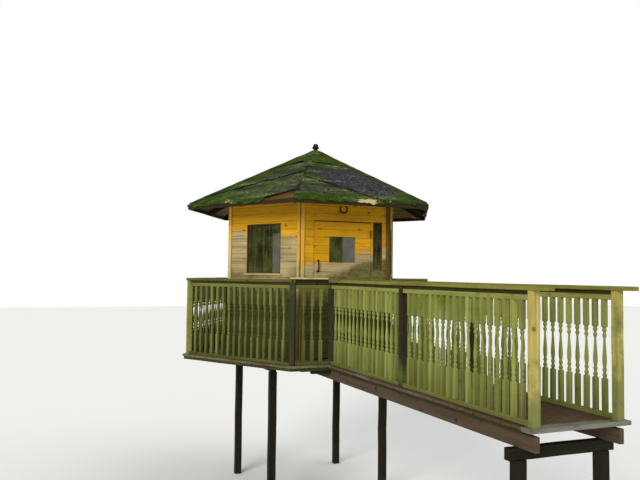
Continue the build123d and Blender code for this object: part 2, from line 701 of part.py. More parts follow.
def door():
    """Boarded door leaf with ledges, a small pane and a pull handle, and its stops."""
    face_y = -CABIN_A
    back_y = face_y + DOOR_BOARD_T
    brace_y = back_y + DOOR_BRACE_T
    leaf = block(DOOR_LEFT, DOOR_RIGHT, face_y, back_y, DOOR_LIFT, DOOR_TOP)
    pane_left = DOOR_PANE_X - DOOR_PANE_W / 2
    pane_right = DOOR_PANE_X + DOOR_PANE_W / 2
    pane_top = DOOR_PANE_SILL + DOOR_PANE_H
    hole = block(pane_left, pane_right, face_y, back_y, DOOR_PANE_SILL, pane_top)
    node("door_boards", leaf - hole)
    left = DOOR_LEFT + DOOR_BRACE_INSET
    right = DOOR_RIGHT - DOOR_BRACE_INSET
    low = DOOR_LIFT + DOOR_BRACE_INSET
    high = DOOR_TOP - DOOR_BRACE_INSET
    lap = DOOR_PANE_LAP
    glass_back = back_y + GLASS_T
    stiles = [(left, left + DOOR_BRACE_W), (right - DOOR_BRACE_W, right)]
    lock_rail = DOOR_PANE_SILL - lap
    top_rail = pane_top + lap
    rails = [
        (low, low + DOOR_BRACE_W), (lock_rail - DOOR_BRACE_W, lock_rail), (top_rail, high)
    ]
    pieces = [block(x0, x1, back_y, brace_y, low, high) for x0, x1 in stiles]
    pieces += [block(left, right, back_y, brace_y, z0, z1) for z0, z1 in rails]
    node("door_ledges", pieces[0].fuse(*pieces[1:]))
    node("door_glass", block(
        pane_left - lap, pane_right + lap, back_y, glass_back, lock_rail, top_rail
    ))
    grip_low = HANDLE_Z - HANDLE_LENGTH / 2
    grip_high = HANDLE_Z + HANDLE_LENGTH / 2
    grip_front = face_y - HANDLE_REACH
    grip = block(
        HANDLE_X - HANDLE_GRIP / 2, HANDLE_X + HANDLE_GRIP / 2,
        grip_front, grip_front + HANDLE_GRIP, grip_low, grip_high,
    )
    feet = [
        block(
            HANDLE_X - HANDLE_GRIP / 2, HANDLE_X + HANDLE_GRIP / 2, grip_front, face_y, z0, z0 + HANDLE_PAD
        )
        for z0 in (grip_low, grip_high - HANDLE_PAD)
    ]
    node("door_handle", grip.fuse(*feet))
    stop_front = -INNER_A - DOOR_STOP_D
    stops = [
        block(OPENING_LEFT, OPENING_LEFT + DOOR_STOP_W, stop_front, -INNER_A, 0, OPENING_TOP),
        block(OPENING_RIGHT - DOOR_STOP_W, OPENING_RIGHT, stop_front, -INNER_A, 0, OPENING_TOP),
    ]
    stops.append(block(
        OPENING_LEFT + DOOR_STOP_W + MITRE_GAP, OPENING_RIGHT - DOOR_STOP_W - MITRE_GAP,
        stop_front, -INNER_A, OPENING_TOP - DOOR_STOP_W, OPENING_TOP,
    ))
    node("door_stops", stops)


def horseshoe():
    """Horseshoe nailed over the door with its open end up."""
    inner = HORSESHOE_OUTER - HORSESHOE_WEB
    plate = RegularPolygon(HORSESHOE_OUTER, HORSESHOE_SIDES) - RegularPolygon(inner, HORSESHOE_SIDES)
    mouth = Pos(0, HORSESHOE_OUTER) * Rectangle(HORSESHOE_MOUTH, HORSESHOE_OUTER)
    shoe = extrude(plate - mouth, amount=HORSESHOE_T)
    node("horseshoe", Pos(HORSESHOE_X, -CABIN_A, HORSESHOE_Z) * Rot(90, 0, 0) * shoe)


def write_nodes():
    """Set every node down on the origin and write it."""
    os.makedirs("parts", exist_ok=True)
    place = Pos(0, CABIN_Y, DECK_TOP)
    for name, solids in NODES.items():
        placed = [place * solid for solid in solids]
        shape = placed[0] if len(placed) == 1 else Compound(placed)
        shape.label = name
        export_step(shape, f"parts/{name}.step")


deck_frame()
bridge_frame()
balustrades()
handrails()
walls()
corners()
roof()
door()
hinges()
horseshoe()
write_nodes()
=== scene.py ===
import logging
import math
from dataclasses import dataclass, field
from enum import Enum
from typing import Any, Callable, Mapping, Sequence

import bpy
import numpy as np
from mathutils import Matrix, Vector


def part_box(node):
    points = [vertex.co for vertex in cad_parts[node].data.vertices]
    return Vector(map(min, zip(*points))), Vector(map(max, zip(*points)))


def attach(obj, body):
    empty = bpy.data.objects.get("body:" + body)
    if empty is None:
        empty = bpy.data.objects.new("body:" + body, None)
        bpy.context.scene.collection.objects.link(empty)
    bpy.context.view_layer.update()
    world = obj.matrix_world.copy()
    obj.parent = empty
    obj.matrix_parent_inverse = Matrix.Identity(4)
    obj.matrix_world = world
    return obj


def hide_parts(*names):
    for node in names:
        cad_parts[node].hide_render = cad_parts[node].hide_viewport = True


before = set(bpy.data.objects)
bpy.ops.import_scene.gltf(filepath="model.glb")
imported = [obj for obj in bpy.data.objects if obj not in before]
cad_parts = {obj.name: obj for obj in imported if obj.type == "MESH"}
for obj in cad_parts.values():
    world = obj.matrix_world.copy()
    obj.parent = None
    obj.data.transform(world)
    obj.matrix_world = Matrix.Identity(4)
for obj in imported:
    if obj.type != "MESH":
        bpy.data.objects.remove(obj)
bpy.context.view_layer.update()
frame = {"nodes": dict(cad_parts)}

# A hexagonal tree house on posts, with a railed deck round it and a railed footbridge, in metres
# Shapes are worked out from the middle of the cabin at deck level, X along the door wall and -Y along
# the bridge, and are set down in the frame when they are kept

Array = np.ndarray
Point = Sequence[float]
Pair = tuple[float, float]
Colour = tuple[float, float, float, float]
Mask = float | Callable[[Array], Array]
Ends = Sequence[Sequence["Cut"]]

LOG = logging.getLogger("tree_house")

COS30 = math.cos(math.radians(30))
TAN30 = math.tan(math.radians(30))
BOTH = (-1, 1)
X_WAY = np.array((1.0, 0.0, 0.0))
LEG_SIZE = (0.100, 0.100)
HANDRAIL = (0.100, 0.035)
FLOOR_BOARD = 0.120
BRIDGE_EDGE = 0.080
RIM_SETBACK = 0.020
SPARE = 0.02
BELOW = -0.1
LOG_LENGTH = 60.0
SHEEN = 0.14


class Side(Enum):
    """Sides of the hexagon, clockwise from above, starting with the door wall."""

    FRONT = 0
    LEFT_FRONT = 1
    LEFT_BACK = 2
    BACK = 3
    RIGHT_BACK = 4
    RIGHT_FRONT = 5


class Body(Enum):
    """Bodies that the pieces ride on."""

    HOUSE = "house"
    DOOR = "door"


def srgb(red: int, green: int, blue: int) -> Colour:
    """Linear colour of a display colour.

    Args:
        red: Red, 0 to 255.
        green: Green, 0 to 255.
        blue: Blue, 0 to 255.

    Returns:
        Linear red, green and blue, and 1 for opacity.
    """
    share = np.array((red, green, blue)) / 255.0
    linear = np.where(share <= 0.04045, share / 12.92, ((share + 0.055) / 1.055) ** 2.4)
    return (float(linear[0]), float(linear[1]), float(linear[2]), 1.0)


def unit(vector: Array) -> Array:
    """The vector at length 1."""
    return vector / np.linalg.norm(vector)


def read(value: Mask, points: Array) -> Array | float:
    """The number, or what the function gives at the points."""
    return value(points) if callable(value) else value


def from_foot(height: float, fall: float, most: float, more: float = 0.0) -> Callable[[Array], Array]:
    """Mask that falls with the height from a value at level 0, from 0 to the most, plus a number."""
    return lambda points: more + np.clip(height - points[..., 2] * fall, 0, most)


def around(count: int, first: float = 0.0) -> Array:
    """Points of a circle of radius 1, (count, 2), the first one a share of a step on from X."""
    angle = (np.arange(count) + first) * 2 * math.pi / count
    return np.stack((np.cos(angle), np.sin(angle)), axis=1)


def carried(path: Array, plan: Array, first: Array, second: Array) -> Array:
    """Rings of a section carried along a path.

    Args:
        path: Middle of each ring, (ring, 3).
        plan: Section of each ring, (ring, corner, 2).
        first: Direction of the section's first number, one or one for each ring.
        second: Direction of its second number.

    Returns:
        Points, (ring, corner, 3).
    """
    return path[:, None, :] + plan[..., :1] * first[..., None, :] + plan[..., 1:] * second[..., None, :]


def stations(*corners: Sequence[Array | float]) -> Array:
    """Rings of a section given corner by corner, each by its x, y and z at every station."""
    return np.stack([np.stack(np.broadcast_arrays(*corner), axis=-1) for corner in corners], axis=1)


def turned(points: Array, side: float) -> Array:
    """Points drawn on the door side, turned clockwise about the middle.

    Args:
        points: Any array of points, (..., 3).
        side: Steps of 60 degrees.

    Returns:
        The turned points.
    """
    angle = math.radians(-60.0 * side)
    cos, sin = math.cos(angle), math.sin(angle)
    return points @ np.array(((cos, -sin, 0.0), (sin, cos, 0.0), (0.0, 0.0, 1.0))).T


@dataclass(frozen=True)
class Hole:
    """Opening through a wall, or what fills it: its left, right, lower and upper edge."""

    left: float
    right: float
    low: float
    high: float

    def grown(self, by: float) -> "Hole":
        """The hole made larger all round."""
        return Hole(self.left - by, self.right + by, self.low - by, self.high + by)


@dataclass(frozen=True)
class Layout:
    """Levels and plan sizes read from the fixed frame, from the cabin's middle at deck level."""

    middle_y: float
    deck_z: float
    cabin_a: float
    inner_a: float
    eave_a: float
    eave_low: float
    fascia_low: float
    rail_a: float
    rail_top: float
    floor_a: float
    rim_a: float
    bridge_half: float
    bridge_end: float
    floor_end: float
    handrail_end: float
    door: Hole
    pitch: float = math.radians(29.0)
    post: float = 0.070
    floor_t: float = 0.028

    @classmethod
    def read(cls) -> "Layout":
        """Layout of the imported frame.

        Returns:
            The measured layout.
        """
        boss, floor, wall, roof, back, posts, rails, leaf = map(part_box, (
            "roof_boss", "deck_floor", "wall_back", "roof_boards", "balustrade_back", "balustrade_posts",
            "bridge_handrails", "door_boards",
        ))
        middle, deck = (boss[0].y + boss[1].y) / 2, floor[1].z
        floor_a = (floor[1].y - floor[0].y) / 2
        return cls(
            middle_y=middle,
            deck_z=deck,
            cabin_a=wall[1].y - middle,
            inner_a=wall[0].y - middle,
            eave_a=(roof[1].y - roof[0].y) / 2,
            eave_low=roof[0].z - deck,
            fascia_low=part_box("fascia_boards")[0].z - deck,
            rail_a=(back[0].y + back[1].y) / 2 - middle,
            rail_top=rails[1].z - deck,
            floor_a=floor_a,
            rim_a=floor_a - RIM_SETBACK,
            bridge_half=rails[1].x - HANDRAIL[0] / 2,
            bridge_end=middle - posts[0].y - cls.post / 2,
            floor_end=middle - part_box("bridge_end_board")[0].y,
            handrail_end=middle - rails[0].y,
            door=Hole(leaf[0].x, leaf[1].x, leaf[0].z - deck, leaf[1].z - deck),
        )

    def set_down(self, points: Array) -> Array:
        """Points about the cabin's middle, moved to their place in the frame."""
        return points + np.array((0.0, self.middle_y, self.deck_z))


LAYOUT = Layout.read()


@dataclass
class Shape:
    """Closed surfaces of one piece, with what its finish reads at each point.

    grain is the place in the timber, along, across and through it; tone differs from timber to timber;
    mask is the finish's own number, such as the height above the line where a stain gives way.
    """

    points: list[Array] = field(default_factory=list)
    faces: list[Array] = field(default_factory=list)
    grain: list[Array] = field(default_factory=list)
    tone: list[Array] = field(default_factory=list)
    mask: list[Array] = field(default_factory=list)
    total: int = 0

    def tubes(
        self, rings: Array, grain: Array, tone: Array | float = 0.5, mask: Array | float = 0.0,
        side: float = 0,
    ) -> None:
        """Keep closed tubes. Neighbouring rings are joined by quads, and one flat face closes each end.

        The faces are turned over where they look inwards: where the sum over the quads of the way out
        from the tube's middle times the quad's own direction comes out below 0.

        Args:
            rings: Points as (tube, ring, corner, 3), about the cabin's middle.
            grain: Place in the timber for each point, the same shape.
            tone: One number for all, or numbers that spread over the points.
            mask: The same.
            side: Side of the hexagon that the tubes are turned to.
        """
        grid, flat = rings.shape[:3], rings.reshape(-1, 3)
        index = np.arange(len(flat)).reshape(grid)
        after = np.roll(index, -1, axis=2)
        quads = np.stack((index[:, :-1], after[:, :-1], after[:, 1:], index[:, 1:]), axis=-1).reshape(-1, 4)
        ends = np.concatenate((index[:, 0, ::-1], index[:, -1]))
        first, second, third, last = (flat[quads[:, k]] for k in range(4))
        middle = np.broadcast_to(rings.mean(axis=(1, 2), keepdims=True), rings.shape).reshape(-1, 3)
        if ((first - middle[quads[:, 0]]) * np.cross(third - first, last - second)).sum() < 0:
            quads, ends = quads[:, ::-1], ends[:, ::-1]
        self.faces += [quads + self.total, ends + self.total]
        self.points.append(LAYOUT.set_down(turned(flat, side)))
        self.grain.append(grain.reshape(-1, 3))
        self.tone.append(np.broadcast_to(tone, grid).ravel())
        self.mask.append(np.broadcast_to(mask, grid).ravel())
        self.total += len(flat)

    def keep(
        self, name: str, finish: "Finish", slot: str, *nodes: str, body: Body = Body.HOUSE,
        smooth: float = 32.0,
    ) -> None:
        """Make the piece's object and let it ride on its body.

        Args:
            name: Name of the piece.
            finish: Finish that dresses it.
            slot: Name of a material slot; not used.
            nodes: Nodes of the frame that it stands for.
            body: Body that it rides on.
            smooth: Edges sharper than this angle, in degrees, stay crisp.
        """
        mesh = bpy.data.meshes.new(name)
        points = np.concatenate(self.points).astype(np.float32)
        loops = np.concatenate([faces.ravel() for faces in self.faces]).astype(np.int32)
        sizes = np.concatenate([np.full(len(faces), faces.shape[1]) for faces in self.faces])
        starts = np.concatenate(((0,), np.cumsum(sizes)[:-1])).astype(np.int32)
        mesh.vertices.add(len(points))
        mesh.vertices.foreach_set("co", points.ravel())
        mesh.loops.add(len(loops))
        mesh.loops.foreach_set("vertex_index", loops)
        mesh.polygons.add(len(starts))
        mesh.polygons.foreach_set("loop_start", starts)
        for label, kind, arrays, key in (
            ("grain", "FLOAT_VECTOR", self.grain, "vector"),
            ("tone", "FLOAT", self.tone, "value"),
            ("mask", "FLOAT", self.mask, "value"),
        ):
            values = np.concatenate(arrays).astype(np.float32)
            mesh.attributes.new(label, kind, "POINT").data.foreach_set(key, values.ravel())
        mesh.update(calc_edges=True)
        mesh.validate()
        mesh.shade_smooth()
        mesh.set_sharp_from_angle(angle=math.radians(smooth))
        mesh.materials.append(finish.material())
        piece = bpy.data.objects.new(name, mesh)
        bpy.context.scene.collection.objects.link(piece)
        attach(piece, body.value)
        if nodes:
            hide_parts(*nodes)
        LOG.info("%s: %d triangles", name, (sizes - 2).sum())


@dataclass(frozen=True)
class Cut:
    """Plane that ends a timber."""

    point: Point
    normal: Point

    def reach(self, base: Array, axis: Array) -> Array:
        """Distance from each base point along the axis to the plane."""
        normal = np.asarray(self.normal, float)
        return ((np.asarray(self.point, float) - base) @ normal) / float(axis @ normal)


def hip_cut(hand: int, trim: float) -> Cut:
    """Upright plane through the middle and a corner of the hexagon, on the right (1) or the left (-1)."""
    normal = (hand * COS30, 0.5, 0.0)
    return Cut((-trim * normal[0], -trim * normal[1], 0.0), normal)


def mitred(trim: float = 0.0005) -> Ends:
    """Cuts of a timber that ends at the hip on its left and at the one on its right."""
    return [hip_cut(-1, trim)], [hip_cut(1, trim)]


def bevelled(width: float, depth: float, bevel: float) -> Array:
    """Rectangle about the origin with its four corners cut at 45 degrees, as eight points.

    Args:
        width: Across.
        depth: Along.
        bevel: Size of the cut.

    Returns:
        Its corners, (8, 2).
    """
    w, d, b = width / 2, depth / 2, bevel
    return np.array(
        ((w - b, -d), (w, b - d), (w, d - b), (w - b, d), (b - w, d), (-w, d - b), (-w, b - d), (b - w, -d))
    )


@dataclass
class Sawmill:
    """Makes slightly uneven timbers, the same ones for the same seed."""

    seed: int
    pith: float = 0.10
    joint: float = 0.0018
    worn: float = 0.0035
    least: float = 0.004

    def __post_init__(self) -> None:
        """Start the row of chances."""
        self.rng = np.random.default_rng(self.seed)

    def heart(self) -> Array:
        """Where in the log a timber was cut: far along it, and near its pith."""
        return np.array((self.rng.uniform(0, LOG_LENGTH), *self.rng.uniform(-self.pith, self.pith, 2)))

    def timber(
        self, shape: Shape, start: Point, end: Point, across: Point, size: Pair, ends: Ends = ((), ()),
        bevel: float = 0.003, warp: float = 0.0012, side: float = 0, tone: float | None = None,
        mask: Mask = 0.0, step: float = 0.35,
    ) -> None:
        """Carry a bevelled rectangle from start to end, swaying a little, and cut its ends by planes.

        Args:
            shape: Piece that gets the timber.
            start: Middle of the first end.
            end: Middle of the last end.
            across: Direction of the width.
            size: Width, and depth square to it.
            ends: Planes that cut the first end, and those that cut the last.
            bevel: Size of the worn corners.
            warp: Most that the timber sways.
            side: Side of the hexagon.
            tone: Tone of the timber, or None for one by chance.
            mask: Number for the finish, or a function of the points that gives it.
            step: Distance between rings.
        """
        first = np.asarray(start, float)
        axis = np.asarray(end, float) - first
        length = float(np.linalg.norm(axis))
        axis = axis / length
        depth_way = unit(np.cross(axis, np.asarray(across, float)))
        width_way = np.cross(depth_way, axis)
        corner = bevelled(*size, min(bevel, size[0] / 3, size[1] / 3))
        base = first + corner[:, :1] * width_way + corner[:, 1:] * depth_way
        near = np.max([np.zeros(len(corner)), *(cut.reach(base, axis) for cut in ends[0])], axis=0)
        far = np.min([np.full(len(corner), length), *(cut.reach(base, axis) for cut in ends[1])], axis=0)
        count = max(2, int(math.ceil(length / step)) + 1)
        share = np.linspace(0, 1, count)[:, None]
        along = near + share * (far - near)
        phase = self.rng.uniform(0, 2 * math.pi, 2)
        beat = self.rng.uniform(1.0, 2.4, 2)
        sway = warp * np.sin(math.pi * share) * np.sin(2 * math.pi * share * beat + phase)
        shift = sway[:, :1] * width_way + sway[:, 1:] * depth_way
        rings = base + along[..., None] * axis + shift[:, None, :]
        section = np.broadcast_to(corner, (count, *corner.shape))
        grain = np.concatenate((along[..., None], section), axis=-1) + self.heart()
        tone = self.rng.uniform() if tone is None else tone
        shape.tubes(rings[None], grain[None], tone, read(mask, rings), side)

    def along_x(self, shape: Shape, span: Pair, y: float, z: float, size: Pair, **more: Any) -> None:
        """Level timber along X, its width along Y; more is passed on to timber."""
        self.timber(shape, (span[0], y, z), (span[1], y, z), (0, 1, 0), size, **more)

    def along_y(self, shape: Shape, x: float, span: Pair, z: float, size: Pair, **more: Any) -> None:
        """Level timber along Y, its width along X; more is passed on to timber."""
        self.timber(shape, (x, span[0], z), (x, span[1], z), (1, 0, 0), size, **more)

    def upright(self, shape: Shape, x: float, y: float, span: Pair, size: Pair, **more: Any) -> None:
        """Upright timber, its width along X; more is passed on to timber."""
        self.timber(shape, (x, y, span[0]), (x, y, span[1]), (1, 0, 0), size, **more)

    def leg(self, shape: Shape, x: float, y: float, top: float) -> None:
        """Square post from the ground, greener towards its foot."""
        green = from_foot(-0.6, 0.5, 0.5)
        self.upright(shape, x, y, (-LAYOUT.deck_z, top), LEG_SIZE, bevel=0.006, warp=0.003, mask=green)

    def courses(
        self, shape: Shape, span: Pair, levels: Pair, faces: Pair, pitch: float, holes: Sequence[Hole],
        side: int, mask: Mask = 0.0,
    ) -> None:
        """Lay level boards over a wall, notched and parted round its openings.

        Args:
            shape: Piece that gets the boards.
            span: Left and right end.
            levels: Lower and upper edge of the wall.
            faces: Outer and inner distance from the middle.
            pitch: Height of one course.
            holes: Openings.
            side: Side of the hexagon.
            mask: Number for the finish, or a function of the points.
        """
        sides = {x for hole in holes for x in (hole.left, hole.right)}
        lines = sorted({*span, *(x for x in sides if span[0] < x < span[1])})
        for low in np.arange(levels[0], levels[1] - pitch * 0.1, pitch):
            run: list[tuple[float, float, float, float]] = []
            for left, right in zip(lines, lines[1:]):
                bottom, top = low + self.joint / 2, min(low + pitch, levels[1]) - self.joint / 2
                for hole in holes:
                    if hole.left - 1e-6 <= left and right <= hole.right + 1e-6:
                        if hole.low > bottom:
                            top = min(top, hole.low)
                        elif hole.high < top:
                            bottom = max(bottom, hole.high)
                        else:
                            top = bottom
                if top - bottom > self.least:
                    run.append((left, right, bottom, top))
                elif run:
                    self.course(shape, run, faces, side, mask)
                    run = []
            if run:
                self.course(shape, run, faces, side, mask)

    def course(
        self, shape: Shape, run: Sequence[Sequence[float]], faces: Pair, side: int, mask: Mask
    ) -> None:
        """One board of a course: a bevelled section carried along X, its edges stepping at the notches.

        Args:
            shape: Piece that gets the board.
            run: Left and right end, lower and upper edge of each of its parts.
            faces: Outer and inner distance from the middle.
            side: Side of the hexagon.
            mask: Number for the finish, or a function of the points.
        """
        parts = []
        for left, right, *edges in run:
            x = np.linspace(left, right, max(2, int((right - left) / 0.18) + 2))
            parts.append(np.stack(np.broadcast_arrays(x, *edges), axis=1))
        line = np.concatenate(parts)
        same = (np.abs(np.diff(line, axis=0)) < 1e-7).all(axis=1)
        x, bottom, top = line[~np.concatenate(((False,), same))].T
        wave, phase = self.rng.uniform(1.5, 4.0, 2), self.rng.uniform(0, 6.3, 2)
        push = self.rng.uniform(-0.0006, 0.0006) + 0.0006 * np.sin(wave[0] * x + phase[0])
        lift = 0.0005 * np.sin(wave[1] * x + phase[1])
        outer, inner = -(faces[0] + push), -faces[1]
        low, high = bottom + lift, top + lift
        section = stations(
            (x, outer, low + self.worn), (x, outer, high - self.worn), (x, outer + self.worn, high),
            (x, inner, high), (x, inner, low), (x, outer + self.worn, low),
        )
        middle = (0.0, -faces[0], (bottom.min() + top.max()) / 2)
        grain = (section - middle)[..., (0, 2, 1)] + self.heart()
        shape.tubes(section[None], grain[None], self.rng.uniform(), read(mask, section), side)


class Number:
    """A number in a material, used in plain arithmetic."""

    def __init__(self, paint: "Paint", socket: bpy.types.NodeSocket) -> None:
        """Wrap an output socket."""
        self.paint = paint
        self.socket = socket

    def _math(self, operation: str, *values: "Number | float") -> "Number":
        """One Math node on these values."""
        made = self.paint.node("ShaderNodeMath", {"operation": operation}, dict(enumerate(values)))
        return Number(self.paint, made.outputs[0])

    def __add__(self, other: "Number | float") -> "Number":
        """Sum."""
        return self._math("ADD", self, other)

    __radd__ = __add__

    def __sub__(self, other: "Number | float") -> "Number":
        """Difference."""
        return self._math("SUBTRACT", self, other)

    def __rsub__(self, other: "Number | float") -> "Number":
        """Difference from a plain number."""
        return self._math("SUBTRACT", other, self)

    def __mul__(self, other: "Number | float") -> "Number":
        """Product."""
        return self._math("MULTIPLY", self, other)

    __rmul__ = __mul__

    def __truediv__(self, other: "Number | float") -> "Number":
        """Quotient."""
        return self._math("DIVIDE", self, other)

    def __pow__(self, other: "Number | float") -> "Number":
        """Power."""
        return self._math("POWER", self, other)

    def wave(self) -> "Number":
        """Sine."""
        return self._math("SINE", self)

    def size(self) -> "Number":
        """Distance from zero."""
        return self._math("ABSOLUTE", self)

    def rise(self, low: float, high: float) -> "Number":
        """Smooth step from 0 at low to 1 at high; low may be the greater, for a fall.

        Args:
            low: Value that gives 0.
            high: Value that gives 1.

        Returns:
            The step.
        """
        made = self.paint.node(
            "ShaderNodeMapRange",
            {"interpolation_type": "SMOOTHSTEP", "clamp": True},
            {"Value": self, "From Min": low, "From Max": high, "To Min": 0.0, "To Max": 1.0},
        )
        return Number(self.paint, made.outputs[0])


Mixed = Number | bpy.types.NodeSocket | Colour | float


class Paint:
    """A material, or the world, in the making."""

    def __init__(self, owner: bpy.types.Material | bpy.types.World) -> None:
        """Start an empty node tree.

        Args:
            owner: Material or world that gets it.
        """
        self.owner = owner
        owner.use_nodes = True
        self.tree = owner.node_tree
        self.tree.nodes.clear()

    def node(
        self, kind: str, settings: Mapping[str, Any] | None = None, inputs: Mapping[Any, Any] | None = None
    ) -> bpy.types.Node:
        """Add a node.

        Args:
            kind: Type of the node.
            settings: Its own settings, set first.
            inputs: Values or links of its sockets, by name or number.

        Returns:
            The node.
        """
        made = self.tree.nodes.new(kind)
        for key, value in (settings or {}).items():
            setattr(made, key, value)
        for key, value in (inputs or {}).items():
            if isinstance(value, Number):
                self.tree.links.new(value.socket, made.inputs[key])
            elif isinstance(value, bpy.types.NodeSocket):
                self.tree.links.new(value, made.inputs[key])
            else:
                made.inputs[key].default_value = value
        return made

    def place(self) -> bpy.types.NodeSocket:
        """Object coordinates, which are metres in the frame."""
        return self.node("ShaderNodeTexCoord").outputs["Object"]

    def vector(self, name: str) -> bpy.types.NodeSocket:
        """A vector kept at the points of the mesh."""
        return self.node("ShaderNodeAttribute", {"attribute_name": name}).outputs["Vector"]

    def value(self, name: str) -> Number:
        """A number kept at the points of the mesh."""
        return Number(self, self.node("ShaderNodeAttribute", {"attribute_name": name}).outputs["Fac"])

    def stretch(self, vector: bpy.types.NodeSocket, scale: Point) -> bpy.types.NodeSocket:
        """The vector times a scale for each axis."""
        return self.node("ShaderNodeVectorMath", {"operation": "MULTIPLY"}, {0: vector, 1: scale}).outputs[0]

    def parts(self, vector: bpy.types.NodeSocket) -> tuple[Number, Number, Number]:
        """The three numbers of a vector."""
        made = self.node("ShaderNodeSeparateXYZ", None, {0: vector})
        return tuple(Number(self, socket) for socket in made.outputs)

    def noise(
        self, vector: bpy.types.NodeSocket, scale: float = 1.0, detail: float = 4.0, rough: float = 0.55
    ) -> Number:
        """Cloudy noise about 0.5.

        Args:
            vector: Coordinates.
            scale: Clouds to the metre.
            detail: Octaves.
            rough: Strength of the finer octaves.

        Returns:
            The noise.
        """
        made = self.node(
            "ShaderNodeTexNoise", None,
            {"Vector": vector, "Scale": scale, "Detail": detail, "Roughness": rough},
        )
        return Number(self, made.outputs[0])

    def cells(self, vector: bpy.types.NodeSocket, scale: float) -> Number:
        """Distance to the nearest of scattered points."""
        made = self.node("ShaderNodeTexVoronoi", None, {"Vector": vector, "Scale": scale})
        return Number(self, made.outputs[0])

    def mix(self, first: Mixed, second: Mixed, share: Mixed, mode: str = "MIX") -> bpy.types.NodeSocket:
        """Two colours mixed.

        Args:
            first: Colour at 0.
            second: Colour at 1.
            share: Factor.
            mode: Way of mixing.

        Returns:
            The mixed colour.
        """
        made = self.node(
            "ShaderNodeMix", {"data_type": "RGBA", "blend_type": mode}, {0: share, 6: first, 7: second}
        )
        return made.outputs[2]

    def surface(
        self, colour: Mixed, rough: Mixed, height: Number | None = None, relief: float = 0.002, **more: Any
    ) -> bpy.types.Material:
        """Finish the material with one surface shader.

        Args:
            colour: Base colour.
            rough: Roughness.
            height: Relief, 0 to 1.
            relief: Depth of the relief in metres.
            more: Other sockets of the shader, with _ for a space.

        Returns:
            The material.
        """
        inputs = {"Base Color": colour, "Roughness": rough}
        inputs.update({key.replace("_", " "): value for key, value in more.items()})
        if height is not None:
            bump = self.node("ShaderNodeBump", None, {"Strength": 0.8, "Distance": relief, "Height": height})
            inputs["Normal"] = bump.outputs[0]
        shader = self.node("ShaderNodeBsdfPrincipled", None, {"Specular IOR Level": SHEEN, **inputs})
        self.node("ShaderNodeOutputMaterial", None, {0: shader.outputs[0]})
        return self.owner


class Finish:
    """A finish makes its material once."""

    name: str
    made: dict[str, bpy.types.Material] = {}

    def material(self) -> bpy.types.Material:
        """The material of this finish.

        Returns:
            The material, made once.
        """
        if self.name not in Finish.made:
            Finish.made[self.name] = self.paint(Paint(bpy.data.materials.new(self.name)))
        return Finish.made[self.name]

    def paint(self, paint: Paint) -> bpy.types.Material:
        """Fill the material.

        Args:
            paint: Material in the making.

        Returns:
            The finished material.
        """
        raise NotImplementedError


